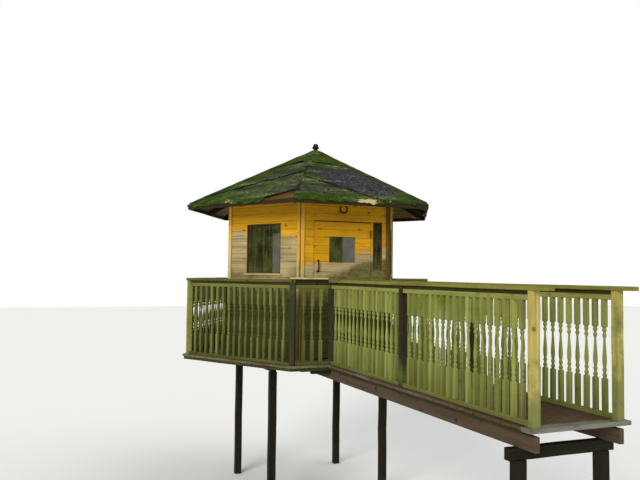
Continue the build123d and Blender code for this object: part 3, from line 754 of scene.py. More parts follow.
@dataclass(frozen=True)
class Timber(Finish):
    """Sawn timber: growth rings about the pith, streaks, knots, cracks and green growth.

    Rings are the sine of the distance from the pith, bent by noise. The growth's share rises where
    broad noise passes a threshold, and the mask of the mesh moves that threshold.
    """

    name: str
    pale: Colour
    mid: Colour
    dark: Colour
    growth: Colour = srgb(96, 108, 38)
    growth_from: float = 0.62
    growth_to: float = 0.80
    growth_scale: float = 2.2
    contrast: float = 1.0
    knots: float = 0.8
    cracks: float = 0.7
    spread: float = 0.22
    rough: float = 0.72
    growth_deep: Colour = srgb(52, 58, 22)

    def wood(self, paint: Paint) -> tuple[bpy.types.NodeSocket, Number]:
        """Colour and relief of the bare timber.

        Args:
            paint: Material in the making.

        Returns:
            Colour, and height for the bump.
        """
        grain = paint.vector("grain")
        tone = paint.value("tone")
        _, across, through = paint.parts(grain)
        bend = paint.noise(paint.stretch(grain, (0.9, 7.0, 7.0)), 1.0, 2.0)
        pith = (across * across + through * through) ** 0.5
        rings = ((pith * 520.0 + bend * 16.0).wave() + 1.0) * 0.5
        streak = paint.noise(paint.stretch(grain, (1.1, 26.0, 26.0)), 1.0, 5.0, 0.62)
        fibre = paint.noise(paint.stretch(grain, (7.0, 210.0, 210.0)), 1.0, 3.0, 0.6)
        blotch = paint.noise(paint.stretch(grain, (2.0, 5.0, 5.0)), 1.0, 3.0)
        near = paint.cells(paint.stretch(grain, (6.0, 7.5, 7.5)), 1.0)
        knot = near.rise(0.17, 0.07) * self.knots
        halo = near.rise(0.34, 0.14) * self.knots
        split = paint.noise(paint.stretch(grain, (1.6, 75.0, 75.0)), 1.0, 2.0, 0.4)
        crack = split.rise(0.70, 0.76) * self.cracks
        depth = (rings * 0.22 + streak.rise(0.30, 0.72) * 0.55 + fibre * 0.30 + halo * 0.25) * self.contrast
        colour = paint.mix(self.pale, self.mid, depth)
        colour = paint.mix(colour, self.dark, (blotch.rise(0.45, 0.95) * 0.55 + knot) * self.contrast)
        colour = paint.mix(colour, self.dark, crack)
        light = tone * self.spread + (1.0 - self.spread / 2)
        shade = paint.node("ShaderNodeHueSaturation", None, {"Value": light, "Color": colour})
        relief = 0.6 + streak * 0.25 + fibre * 0.2 - rings * 0.08 - crack * 0.6 - knot * 0.15
        return shade.outputs[0], relief

    def grown(self, paint: Paint, colour: Mixed, relief: Number) -> tuple[bpy.types.NodeSocket, Number]:
        """The timber with green growth on it, more where the mask is high.

        Args:
            paint: Material in the making.
            colour: Colour of the bare timber.
            relief: Its relief.

        Returns:
            Colour and relief with the growth.
        """
        place = paint.place()
        cloud = paint.noise(place, self.growth_scale, 5.0, 0.6) + paint.noise(place, 23.0, 3.0) * 0.18
        share = (cloud + paint.value("mask") * 0.35).rise(self.growth_from + 0.09, self.growth_to + 0.09)
        fuzz = paint.noise(place, 260.0, 2.0)
        green = paint.mix(self.growth, self.growth_deep, fuzz.rise(0.35, 0.75) * 0.6)
        return paint.mix(colour, green, share * 0.85), relief + share * fuzz * 0.3

    def paint(self, paint: Paint) -> bpy.types.Material:
        """Fill the material.

        Args:
            paint: Material in the making.

        Returns:
            The finished material.
        """
        colour, relief = self.grown(paint, *self.wood(paint))
        return paint.surface(colour, self.rough + (relief - 0.6) * 0.2, relief, 0.0025)


@dataclass(frozen=True)
class StainedBoards(Finish):
    """Cladding whose golden stain has weathered to grey below a line, with algae where it stays damp, its
    colour partly painted shade.

    The mask is the height above that line in metres, so the stain holds where mask plus noise is above 0.
    Below a set height over the deck the boards also darken towards a painted shade colour, the shade behind
    the balustrade.
    """

    name: str
    stained: Timber
    weathered: Timber
    # Algae colour, darkened partly as painted shade on the low walls.
    algae_and_shade: Colour = srgb(66, 70, 20)
    algae_pale: Colour = srgb(106, 102, 50)
    ragged: float = 0.34
    # Painted shade colour for the lower walls behind the balustrade, and the height over the deck where it
    # starts.
    shade: Colour = srgb(38, 38, 12)
    shade_top: float = 1.05

    def paint(self, paint: Paint) -> bpy.types.Material:
        """Fill the material.

        Args:
            paint: Material in the making.

        Returns:
            The finished material.
        """
        gold, relief = self.stained.wood(paint)
        grey, worn = self.weathered.wood(paint)
        place = paint.place()
        height = paint.value("mask")
        ragged = (paint.noise(place, 3.4, 5.0, 0.6) - 0.5) * self.ragged
        ragged = ragged + (paint.noise(place, 16.0, 3.0) - 0.5) * 0.14
        tone = (paint.value("tone") - 0.5) * 0.10
        bare = (height + ragged + tone).rise(0.07, -0.07)
        ridge = paint.noise(paint.stretch(paint.vector("grain"), (0.35, 40.0, 40.0)), 1.0, 2.0)
        grey = paint.mix(grey, self.weathered.dark, ridge.rise(0.55, 0.66) * 0.55)
        colour = paint.mix(gold, grey, bare)
        # Algae where it stays damp; its colour is partly painted shade.
        damp = (height + (paint.noise(place, 2.1, 5.0, 0.6) - 0.5) * 1.2).rise(-0.38, -0.90)
        green = paint.mix(self.algae_and_shade, self.algae_pale, paint.noise(place, 30.0, 3.0).rise(0.3, 0.7))
        colour = paint.mix(colour, green, damp * 0.85)
        # Painted shade: below the set height the boards are mixed towards the shade colour over 0.4 m, for
        # the shade behind the balustrade.
        shaded = LAYOUT.deck_z + self.shade_top
        low = paint.parts(place)[2].rise(shaded, shaded - 0.4)
        colour = paint.mix(colour, self.shade, low * 0.7)
        rough = bare * 0.22 + 0.52
        return paint.surface(colour, rough, relief * (1.0 - bare) + worn * bare, 0.002)


@dataclass(frozen=True)
class DeckBoards(Timber):
    """Walked boards: grey timber, green between the boards, and brown litter dirt where it gathers."""

    litter: Colour = srgb(104, 70, 58)
    litter_deep: Colour = srgb(58, 38, 30)

    def paint(self, paint: Paint) -> bpy.types.Material:
        """Fill the material.

        Args:
            paint: Material in the making.

        Returns:
            The finished material.
        """
        colour, relief = self.grown(paint, *self.wood(paint))
        place = paint.place()
        crumbs = paint.noise(place, 75.0, 3.0, 0.7)
        heap = (paint.noise(place, 1.9, 4.0) + crumbs * 0.25 + paint.value("mask") * 0.4).rise(0.66, 0.86)
        dirt = paint.mix(self.litter, self.litter_deep, crumbs.rise(0.4, 0.6))
        colour = paint.mix(colour, dirt, heap * crumbs.rise(0.30, 0.55) * 0.9)
        return paint.surface(colour, self.rough, relief + heap * crumbs * 0.5, 0.003)


@dataclass(frozen=True)
class MossyFelt(Finish):
    """Roofing felt: purple-grey mineral felt, sage lichen film and moss cushions.

    The mask is 1 on bare felt, 0 on filmed felt and -1 under moss, and the tone is 1 where it is worn pale.
    """

    name: str = "mossy_felt"
    bare: Colour = srgb(58, 54, 58)
    film: Colour = srgb(68, 84, 36)
    moss: Colour = srgb(46, 64, 10)
    bright: Colour = srgb(82, 100, 18)
    worn: Colour = srgb(200, 186, 128)
    mineral: Colour = srgb(122, 116, 108)
    tar: Colour = srgb(20, 20, 18)
    film_deep: Colour = srgb(26, 38, 8)
    film_pale: Colour = srgb(132, 140, 88)
    moss_deep: Colour = srgb(24, 36, 6)
    lichen: Colour = srgb(160, 168, 132)

    def paint(self, paint: Paint) -> bpy.types.Material:
        """Fill the material.

        Args:
            paint: Material in the making.

        Returns:
            The finished material.
        """
        place = paint.place()
        mask = paint.value("mask")
        edge = paint.value("tone")
        broad = paint.noise(place, 1.7, 6.0, 0.62)
        patch = paint.noise(place, 6.5, 5.0, 0.62)
        grit = paint.noise(place, 420.0, 2.0)
        tuft = paint.noise(place, 85.0, 4.0, 0.65)
        streak = paint.noise(paint.stretch(paint.vector("grain"), (1.3, 8.0, 8.0)), 1.0, 5.0, 0.62)
        blot = paint.noise(place, 19.0, 5.0, 0.7)
        felt = paint.mix(self.bare, self.mineral, (blot * 0.6 + streak * 0.4).rise(0.50, 0.66) * 0.75)
        felt = paint.mix(felt, self.tar, (grit * 0.4 + blot * 0.6).rise(0.52, 0.40) * 0.85)
        film = paint.mix(self.film, self.film_deep, (streak * 0.7 + blot * 0.3).rise(0.52, 0.42) * 0.9)
        film = paint.mix(film, self.film_pale, (streak * 0.6 + blot * 0.4).rise(0.52, 0.64) * 0.85)
        filmed = (patch * 0.5 + broad * 0.4 + blot * 0.35 - mask * 0.42).rise(0.42, 0.66)
        colour = paint.mix(felt, film, filmed * 0.92)
        mossed = (broad + patch * 0.30 + blot * 0.25 - mask * 0.30).rise(0.76, 0.90)
        green = paint.mix(self.moss, self.bright, (tuft * 0.6 + patch * 0.5).rise(0.50, 0.74))
        green = paint.mix(green, self.moss_deep, (tuft * 0.6 + patch * 0.4).rise(0.53, 0.36) * 0.85)
        colour = paint.mix(colour, green, mossed)
        pale = (edge + (patch - 0.5) * 1.3 + (blot - 0.5) * 1.6 + (tuft - 0.5) * 0.6).rise(0.62, 0.92)
        colour = paint.mix(colour, self.worn, pale * 0.9)
        specks = paint.cells(place, 21.0).rise(0.10, 0.06) * patch.rise(0.5, 0.6)
        colour = paint.mix(colour, self.lichen, specks * 0.8)
        height = 0.3 + mossed * tuft * 0.7 + grit * 0.1 + patch * 0.2
        return paint.surface(colour, 0.95, height, 0.012, Specular_IOR_Level=0.1)


@dataclass(frozen=True)
class DustyGlass(Finish):
    """Old window glass: clear and faintly green, with dust that thickens in clouds and runs."""

    name: str = "dusty_glass"
    tint: Colour = srgb(40, 38, 14)
    dust: Colour = srgb(116, 122, 62)
    film: float = 0.42

    def paint(self, paint: Paint) -> bpy.types.Material:
        """Fill the material.

        Args:
            paint: Material in the making.

        Returns:
            The finished material.
        """
        place = paint.place()
        cloud = paint.noise(place, 3.2, 5.0, 0.6)
        runs = paint.noise(paint.stretch(place, (46.0, 46.0, 2.6)), 1.0, 3.0)
        dust = (cloud * 0.7 + runs * 0.45).rise(0.44, 0.86)
        colour = paint.mix(self.tint, self.dust, dust)
        return paint.surface(colour, dust * 0.45 + 0.05, None, 0.001, Alpha=dust * 0.24 + self.film)


@dataclass(frozen=True)
class Iron(Finish):
    """Wrought iron, black where the paint holds and rust-brown where it has gone."""

    name: str
    black: Colour
    rust: Colour
    rusted: float = 0.5
    rust_bright: Colour = srgb(132, 74, 30)

    def paint(self, paint: Paint) -> bpy.types.Material:
        """Fill the material.

        Args:
            paint: Material in the making.

        Returns:
            The finished material.
        """
        place = paint.place()
        patch = paint.noise(place, 38.0, 5.0, 0.65)
        grit = paint.noise(place, 420.0, 3.0)
        share = (patch + grit * 0.2).rise(0.78 - self.rusted * 0.5, 0.96 - self.rusted * 0.5)
        red = paint.mix(self.rust, self.rust_bright, grit.rise(0.4, 0.7))
        colour = paint.mix(self.black, red, share)
        height = patch * 0.4 + grit * 0.6
        return paint.surface(colour, share * 0.35 + 0.5, height, 0.0008, Metallic=0.4 - share * 0.35)


GOLD = Timber("gold_stain", srgb(222, 168, 26), srgb(192, 134, 4), srgb(112, 62, 2), spread=0.26)
GREY = Timber(
    "grey_weathering", srgb(192, 174, 128), srgb(156, 136, 92), srgb(92, 76, 42), spread=0.24, knots=0.5
)
CLADDING = StainedBoards("stained_cladding", GOLD, GREY)
TRIM = StainedBoards(
    "stained_trim",
    Timber("trim_stain", srgb(220, 178, 74), srgb(192, 144, 40), srgb(120, 76, 16), knots=0.2),
    Timber("trim_bare", srgb(206, 190, 146), srgb(176, 158, 112), srgb(104, 88, 50), knots=0.2),
    algae_and_shade=srgb(92, 84, 28),
)
LINING = Timber(
    "lining", srgb(92, 72, 34), srgb(68, 52, 20), srgb(36, 26, 9), growth_from=0.8, growth_to=1.0
)
BALUSTER = Timber(
    "green_baluster", srgb(146, 150, 80), srgb(106, 110, 48), srgb(50, 52, 16),
    growth=srgb(94, 110, 14), growth_from=0.60, growth_to=0.84, spread=0.46, knots=0.3,
)
DAMP_BALUSTER = Timber(
    "damp_baluster", srgb(116, 122, 62), srgb(80, 84, 32), srgb(36, 36, 9),
    growth=srgb(70, 86, 14), growth_from=0.58, growth_to=0.84, spread=0.46, knots=0.3,
)
RAIL = Timber(
    "green_rail", srgb(146, 144, 70), srgb(104, 102, 38), srgb(52, 46, 14),
    growth=srgb(96, 104, 24), growth_from=0.60, growth_to=0.84, spread=0.22,
)
DAMP_RAIL = Timber(
    "damp_rail", srgb(112, 106, 52), srgb(78, 74, 30), srgb(36, 32, 10),
    growth=srgb(72, 82, 18), growth_from=0.56, growth_to=0.80, spread=0.22,
)
# Battens and packing recessed under the handrails: near-black brown, painted shade in the recess.
BATTEN_IN_SHADE = Timber(
    "batten", srgb(66, 52, 24), srgb(46, 36, 16), srgb(20, 15, 7), growth_from=0.8, growth_to=1.1
)
PALE_POST = Timber(
    "pale_post", srgb(204, 190, 112), srgb(160, 146, 74), srgb(96, 80, 32),
    growth=srgb(108, 118, 66), growth_from=0.60, growth_to=0.86, knots=0.6, contrast=1.2,
)
BROWN_POST = Timber(
    "brown_post", srgb(58, 48, 30), srgb(38, 30, 20), srgb(18, 14, 9), growth_from=0.66, growth_to=0.90,
)
DARK_POST = Timber(
    "dark_post", srgb(58, 60, 36), srgb(36, 36, 19), srgb(15, 15, 7), growth_from=0.60, growth_to=0.86,
)
# Legs, bearers, landing and trestle: near-black, partly dark stain and partly painted shade under the deck
# and the bridge; the hip's dark fillet uses it too.
LEG = Timber("leg", srgb(34, 30, 17), srgb(20, 18, 10), srgb(9, 8, 4), growth=srgb(28, 36, 10))
# Deck rim: darkened as painted shade under the deck's edge.
RIM_IN_SHADE = Timber(
    "rim", srgb(64, 60, 30), srgb(42, 38, 18), srgb(18, 15, 7), growth=srgb(58, 66, 22), growth_from=0.58
)
# Packers and edge strips of the bridge: near-black green, painted shade in the recess between the floor's
# edge and the beams.
STRIP_IN_SHADE = Timber("strip", srgb(48, 44, 22), srgb(30, 28, 13), srgb(14, 12, 6), growth=srgb(40, 48, 14))
BEAM = Timber("beam", srgb(88, 72, 54), srgb(62, 50, 38), srgb(29, 22, 16), growth_from=0.68, growth_to=0.90)
FRAMING = Timber("framing", srgb(84, 72, 44), srgb(60, 50, 30), srgb(28, 22, 13), growth_from=0.58)
SOFFIT = Timber("soffit", srgb(108, 96, 36), srgb(82, 72, 24), srgb(38, 32, 10), growth=srgb(60, 66, 22))
FASCIA = Timber("fascia", srgb(52, 46, 26), srgb(34, 29, 16), srgb(15, 12, 6), growth=srgb(52, 64, 16))
CORNER = Timber(
    "corner_post", srgb(160, 120, 50), srgb(124, 88, 28), srgb(64, 42, 12), growth_from=0.9, growth_to=1.1
)
# Trims at the door wall's right corner: weathered timber, darkened further as painted shade.
SHADED_TRIM = Timber("shaded_trim", srgb(112, 92, 40), srgb(80, 62, 22), srgb(40, 28, 10), growth_from=0.66)
BROWN = Timber(
    "brown_frame", srgb(100, 76, 38), srgb(72, 52, 24), srgb(36, 24, 10), growth_from=0.7, growth_to=0.9
)
# Short handrail caps: the pale top is wear and painted light, the darker side below it painted shade.
CAP_WORN_LIT_TOP_SHADED_SIDE = StainedBoards(
    "cap_worn_and_lit_top_shaded_side",
    Timber("cap_top_worn_and_lit", srgb(214, 204, 142), srgb(180, 168, 104), srgb(96, 86, 44), knots=0.2),
    Timber("cap_side_in_shade", srgb(126, 118, 66), srgb(82, 74, 36), srgb(34, 30, 12), knots=0.2),
    ragged=0.3,
)
ROOF_BOARDS = StainedBoards(
    "roof_boards_finish",
    Timber("bared_boards", srgb(104, 74, 18), srgb(72, 48, 8), srgb(28, 17, 4)),
    SOFFIT,
    algae_and_shade=srgb(46, 48, 14),
    ragged=0.2,
)
DECKING = DeckBoards(
    "decking", srgb(124, 116, 92), srgb(90, 82, 62), srgb(44, 38, 27),
    growth=srgb(66, 74, 24), growth_from=0.60,
)
NOSING = DeckBoards(
    "nosing", srgb(126, 126, 112), srgb(98, 98, 86), srgb(48, 46, 38),
    growth=srgb(78, 88, 40), growth_from=0.62,
)
FELT = MossyFelt()
GLASS = DustyGlass()
BLACK_IRON = Iron("black_iron", srgb(28, 25, 20), srgb(80, 46, 22), 0.3)
RUSTY_IRON = Iron("rusty_iron", srgb(30, 18, 8), srgb(60, 28, 6), 0.75)


@dataclass
class Substructure:
    """Legs, bearers, joists and rim under the deck."""

    leg_x: float = 0.880
    leg_y: Pair = (-0.650, 1.080)
    bearer: Pair = (0.070, 0.120)
    bearer_tail: float = 0.150
    joist: Pair = (0.045, 0.070)
    joist_step: float = 0.400
    joist_taper: float = 0.250
    landing: Pair = (0.070, 0.042)
    landing_half: float = 0.720
    rim: Pair = (0.028, 0.042)
    mill: Sawmill = field(default_factory=lambda: Sawmill(11))

    def __post_init__(self) -> None:
        """Work out the levels."""
        self.joist_under = -LAYOUT.floor_t - self.joist[1]
        self.bearer_under = self.joist_under - self.bearer[1]
        self.rim_under = -LAYOUT.floor_t - self.rim[1]

    def build(self) -> None:
        """Build every piece."""
        self.carriers()
        self.joists()
        self.rims()

    def carriers(self) -> None:
        """Four square legs, two long bearers on them, and the landing bearer under the front rim."""
        legs, bearers, landing = Shape(), Shape(), Shape()
        for x in (-self.leg_x, self.leg_x):
            for y in self.leg_y:
                self.mill.leg(legs, x, y, self.bearer_under)
        span = (self.leg_y[0] - LEG_SIZE[0] / 2, self.leg_y[1] + LEG_SIZE[0] / 2 + self.bearer_tail)
        for x in (-self.leg_x, self.leg_x):
            middle = (self.bearer_under + self.joist_under) / 2
            self.mill.along_y(bearers, x, span, middle, self.bearer, bevel=0.004)
        self.mill.along_x(
            landing, (-self.landing_half, self.landing_half), self.landing[0] / 2 - LAYOUT.rim_a,
            self.rim_under - self.landing[1] / 2, self.landing, bevel=0.004,
        )
        legs.keep("legs", LEG, "dark_timber", "deck_legs")
        bearers.keep("bearers", LEG, "dark_timber", "deck_bearers")
        landing.keep("landing", LEG, "dark_timber", "landing_bearer")

    def joists(self) -> None:
        """Joists from rim to rim, their ends thinning below to the depth of the rim."""
        shape = Shape()
        width, height = self.joist
        inner = LAYOUT.rim_a - self.rim[0]
        count = int((LAYOUT.rim_a - self.landing[0] - width) / self.joist_step)
        taper = self.joist_taper / (height - self.rim[1])
        for y in np.arange(-count, count + 1) * self.joist_step:
            reach = inner / COS30 - (abs(y) + width / 2) * TAN30
            ends = [[Cut((way * reach, y, self.rim_under), (1, 0, -way * taper))] for way in BOTH]
            self.mill.along_x(shape, (-reach, reach), y, -LAYOUT.floor_t - height / 2, self.joist, ends=ends)
        shape.keep("joists", FRAMING, "dark_timber", "deck_joists")

    def rims(self) -> None:
        """Six rim boards, mitred at the corners."""
        shape = Shape()
        half = LAYOUT.rim_a * TAN30 + SPARE
        y, z = -LAYOUT.rim_a + self.rim[0] / 2, -LAYOUT.floor_t - self.rim[1] / 2
        for side in range(6):
            self.mill.along_x(shape, (-half, half), y, z, self.rim, side=side, ends=mitred(), mask=0.5)
        shape.keep("rims", RIM_IN_SHADE, "deck_boards", "deck_rim")


@dataclass
class Floors:
    """Boards of the deck and the bridge, with the gaps between them."""

    gap: float = 0.006
    short_by: float = 0.007
    bridge_drop: float = 0.002
    litter_y: float = -5.3
    worn: Mapping[str, float] = field(default_factory=lambda: {"bevel": 0.0025, "warp": 0.0006})
    mill: Sawmill = field(default_factory=lambda: Sawmill(23))

    def build(self) -> None:
        """Build both floors and the nosing."""
        self.deck()
        self.bridge()
        self.nosing()

    def fitted(self, length: float) -> tuple[int, float]:
        """Number of boards in a length, and their pitch."""
        count = int(round(length / (FLOOR_BOARD + self.gap)))
        return count, length / count

    def deck(self) -> None:
        """Boards along Y, cut to the hexagon."""
        shape = Shape()
        thick, edge = LAYOUT.floor_t, LAYOUT.floor_a
        corner = edge / COS30
        count, pitch = self.fitted(2 * corner)
        for index in range(count):
            x = -corner + (index + 0.5) * pitch
            hand = 1 if x > 0 else -1
            point = (hand * corner, 0, 0)
            ends = [
                (Cut((0, way * edge, 0), (0, 1, 0)), Cut(point, (hand * COS30, way * 0.5, 0)))
                for way in BOTH
            ]
            z = -thick / 2 - self.mill.rng.uniform(0.0, 0.0015)
            size = (pitch - self.gap, thick - 0.001)
            self.mill.along_y(shape, x, (-edge, edge), z, size, ends=ends, mask=0.25, **self.worn)
        shape.keep("deck_boarding", DECKING, "deck_boards", "deck_floor")

    def litter(self, points: Array) -> Array:
        """Where dirt gathers: a hump round a place near the bridge's outer end, and along its sides."""
        far = np.exp(-(((points[..., 1] - self.litter_y) / 0.45) ** 2))
        return 0.25 + far * 0.9 + np.abs(points[..., 0]) * 0.4

    def bridge(self) -> None:
        """Boards across the bridge, their ends a little out of line."""
        shape = Shape()
        thick = LAYOUT.floor_t
        half = LAYOUT.bridge_half + BRIDGE_EDGE
        start = -LAYOUT.floor_end + FLOOR_BOARD
        count, pitch = self.fitted(-LAYOUT.floor_a - start)
        for index in range(count):
            left, right = self.mill.rng.uniform(-self.short_by, 0.0, 2)
            z = -thick / 2 - self.mill.rng.uniform(0.0, self.bridge_drop)
            self.mill.along_x(
                shape, (-half - left, half + right), start + (index + 0.5) * pitch, z,
                (pitch - self.gap, thick - self.bridge_drop), mask=self.litter, step=0.12, **self.worn,
            )
        shape.keep("bridge_boarding", DECKING, "deck_boards", "bridge_floor")

    def nosing(self) -> None:
        """Thicker grey board that ends the bridge."""
        shape = Shape()
        low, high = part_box("bridge_end_board")
        size = (high.y - low.y, high.z - low.z)
        self.mill.along_x(
            shape, (low.x, high.x), -LAYOUT.floor_end + size[0] / 2, -size[1] / 2, size,
            bevel=0.006, warp=0.002, mask=0.25,
        )
        shape.keep("bridge_nosing", NOSING, "deck_boards", "bridge_end_board")


@dataclass
class Bridge:
    """Beams, packing strips and trestle of the bridge."""

    beam: Pair = (0.047, 0.125)
    beam_bevel: float = 0.004
    sway: float = 0.0015
    packer: Pair = (0.040, 0.037)
    strip: Pair = (0.030, 0.026)
    strip_setback: float = 0.008
    beam_inner: float = 0.060
    notch: Pair = (0.070, 0.112)
    joist_under: float = -0.098
    trestle_from_end: float = 0.230
    trestle_beam: Pair = (0.070, 0.100)
    overhang: float = 0.110
    mill: Sawmill = field(default_factory=lambda: Sawmill(37))

    def build(self) -> None:
        """Build every piece."""
        top = -LAYOUT.floor_t - self.packer[1]
        under = top - self.beam[1]
        stop = -LAYOUT.floor_end + FLOOR_BOARD
        far = -LAYOUT.bridge_end - LAYOUT.post / 2
        trestle = far + self.trestle_from_end
        beams, packers, legs, head = Shape(), Shape(), Shape(), Shape()
        for hand in BOTH:
            x = hand * LAYOUT.bridge_half
            self.notched(beams, x, (far, -LAYOUT.rim_a, self.beam_inner), (under, top))
            self.mill.along_y(packers, x, (stop, -LAYOUT.rim_a), (top - LAYOUT.floor_t) / 2, self.packer)
            edge = hand * (LAYOUT.bridge_half + BRIDGE_EDGE - self.strip_setback - self.strip[0] / 2)
            z = -LAYOUT.floor_t - self.strip[1] / 2
            self.mill.along_y(packers, edge, (stop, -LAYOUT.floor_a), z, self.strip, warp=0.002, mask=0.8)
            self.mill.leg(legs, x, trestle, under - self.trestle_beam[1])
        half, z = LAYOUT.bridge_half + self.overhang, under - self.trestle_beam[1] / 2
        self.mill.along_x(head, (-half, half), trestle, z, self.trestle_beam, bevel=0.005)
        beams.keep("beams", BEAM, "beam_timber", "bridge_beams")
        # Painted shade: the packers and edge strips take the near-black strip finish.
        packers.keep("packing", STRIP_IN_SHADE, "deck_boards", "bridge_packers")
        legs.keep("trestle", LEG, "dark_timber", "trestle_legs")
        head.keep("trestle_head", LEG, "dark_timber", "trestle_beam")

    def notched(self, shape: Shape, x: float, along: tuple[float, float, float], levels: Pair) -> None:
        """One beam, thinner under the deck, where it passes beneath the landing bearer and the joists.

        Args:
            shape: Piece that gets the beam.
            x: Middle of its width.
            along: Y of its outer end, of the deck's rim and of its inner end.
            levels: Underside and top.
        """
        far, rim, near = along
        under, top = levels
        inner = rim + self.notch[0]
        y = np.concatenate((np.linspace(far, rim, 14), (rim, inner, inner), np.linspace(inner, near, 6)[1:]))
        high = np.repeat((top, -self.notch[1], self.joist_under), (14, 2, 6))
        bevel = self.beam_bevel
        sway = self.sway * np.sin(1.9 * y + x * 5)
        left, right = (x + hand * self.beam[0] / 2 + sway for hand in BOTH)
        section = stations(
            (left + bevel, y, under), (right - bevel, y, under), (right, y, under + bevel),
            (right, y, high - bevel), (right - bevel, y, high), (left + bevel, y, high),
            (left, y, high - bevel), (left, y, under + bevel),
        )
        grain = (section - (x, 0.0, (under + top) / 2))[..., (1, 0, 2)] + self.mill.heart()
        shape.tubes(section[None], grain[None], self.mill.rng.uniform())


@dataclass
class Balustrade:
    """Posts, rails, handrails and turned spindles."""

    rail: float = 0.045
    top_rail: float = 0.045
    bottom_rail: float = 0.040
    batten: Pair = (0.028, 0.035)
    short_handrail: Pair = (0.100, 0.028)
    short_lap: float = 0.028
    short_gap: float = 0.020
    packing_stop: float = 0.040
    twist: float = 0.035
    lean: float = 0.0012
    pith: float = 0.060
    foot_darkening_height: float = 0.45
    foot_darkening: float = 1.6
    # Per metre of height, how fast the short caps pass from their worn, lit top to their side in painted
    # shade.
    lit_top_to_shade_slope: float = 22.0
    spindle: float = 0.041
    step: float = 0.108
    inner_bay: float = 1.905
    mill: Sawmill = field(default_factory=lambda: Sawmill(41))

    def __post_init__(self) -> None:
        """Work out the levels, the corner and the two bays of the bridge."""
        self.under = LAYOUT.rail_top - HANDRAIL[1]
        self.rail_high = self.under - self.batten[1]
        self.spindle_high = self.rail_high - self.top_rail
        self.corner_r = LAYOUT.rail_a / COS30
        middle = LAYOUT.rail_a + self.inner_bay
        self.bays = ((LAYOUT.rail_a, middle), (middle, LAYOUT.bridge_end))
        self.battens_in_shade = Shape()

    def build(self) -> None:
        """Build every piece."""
        self.panels()
        self.posts()
        self.handrails()

    def turned_form(self) -> Array:
        """One spindle about the Z axis, as points (ring, corner, 3).

        Each ring is a blend, by its squareness, of a circle and a square with cut corners, both scaled by
        the half width at that height: square blocks below and above, and between them rings, a neck and
        a swelling as turned on a lathe.

        Returns:
            The rings, lowest first.
        """
        # share of the height from the top, and half width as a share of the block's
        profile = np.array((
            (1.000, 1.00), (0.716, 1.00), (0.706, 0.99), (0.699, 0.80), (0.693, 0.62), (0.687, 0.86),
            (0.676, 0.96), (0.665, 0.86), (0.658, 0.60), (0.644, 0.60), (0.637, 0.80), (0.627, 0.90),
            (0.617, 0.80), (0.608, 0.60), (0.585, 0.78), (0.552, 0.94), (0.515, 0.90), (0.460, 0.72),
            (0.405, 0.54), (0.362, 0.44), (0.342, 0.50), (0.335, 0.76), (0.322, 0.86), (0.309, 0.76),
            (0.302, 0.56), (0.291, 0.58), (0.284, 0.84), (0.272, 0.94), (0.260, 0.84), (0.254, 0.64),
            (0.249, 0.86), (0.243, 0.99), (0.234, 1.00), (0.000, 1.00),
        ))
        square = np.concatenate(((1.0, 1.0, 0.8), np.zeros(27), (0.2, 0.8, 1.0, 1.0)))[:, None, None]
        height = self.bottom_rail + (1 - profile[:, 0]) * (self.spindle_high - self.bottom_rail)
        circle = around(16, 0.5)
        block = circle / np.abs(circle).max(axis=1, keepdims=True)
        corner = np.abs(block).min(axis=1) > 0.6
        block = np.where(corner[:, None], np.sign(block) * np.where(np.abs(block) > 0.99, 1.0, 0.90), block)
        plan = (circle * (1 - square) + block * square) * profile[:, 1, None, None] * self.spindle / 2
        return np.concatenate((plan, np.broadcast_to(height[:, None, None], (*plan.shape[:2], 1))), axis=-1)

    def spindles(self, shape: Shape, start: Array, way: Array, length: float, side: int) -> None:
        """Place the spindles of one panel, each leaning and turned by a trace, and darker towards the foot.

        Args:
            shape: Piece that gets them.
            start: Middle of the first post, at deck level.
            way: Direction of the panel in plan.
            length: Post to post.
            side: Side of the hexagon.
        """
        form = self.turned_form()
        clear = length - LAYOUT.post
        count = round(clear / self.step) - 1
        along = LAYOUT.post / 2 + (np.arange(count) + 1) * clear / (count + 1)
        rng = self.mill.rng
        twist = rng.normal(0, self.twist, count) + math.atan2(way[1], way[0])
        c, s = np.cos(twist)[:, None, None], np.sin(twist)[:, None, None]
        x, y, z = np.moveaxis(form, -1, 0)
        lean = rng.normal(0, self.lean, (count, 2))[:, None, None, :]
        share = ((z - z[0]) / (z[-1] - z[0]))[None, ..., None]
        plan = np.stack((x * c - y * s, x * s + y * c), axis=-1) + lean * np.sin(math.pi * share)
        plan += (start[:2] + along[:, None] * way[:2])[:, None, None, :]
        rings = np.concatenate((plan, np.broadcast_to(z, plan.shape[:-1])[..., None]), axis=-1)
        cut = rng.uniform(0, LOG_LENGTH, count), *rng.uniform(-self.pith, self.pith, (2, count))
        heart = np.stack(cut, axis=1)
        grain = np.broadcast_to(form[None][..., (2, 0, 1)], rings.shape) + heart[:, None, None, :]
        # Darker towards the foot: the tone falls over the lowest part of each spindle.
        foot_darkening = self.foot_darkening * np.clip(self.foot_darkening_height - rings[..., 2], 0, self.foot_darkening_height)
        tone = rng.uniform(0, 1, count)[:, None, None] - foot_darkening
        shape.tubes(rings, grain, tone, self.damp(rings), side)

    def damp(self, points: Array) -> Array:
        """Growth on the balustrade: most on the upper blocks near the middle of the bridge, and low down.

        Args:
            points: Points of it.

        Returns:
            How much grows at each.
        """
        z = points[..., 2]
        near = np.exp(-(((points[..., 1] + self.bays[1][0] + 0.7) / 0.75) ** 2))
        return np.clip((z - 0.66) * 1.6, 0, 0.5) * near + from_foot(0.288, 1.2, 0.25)(points)

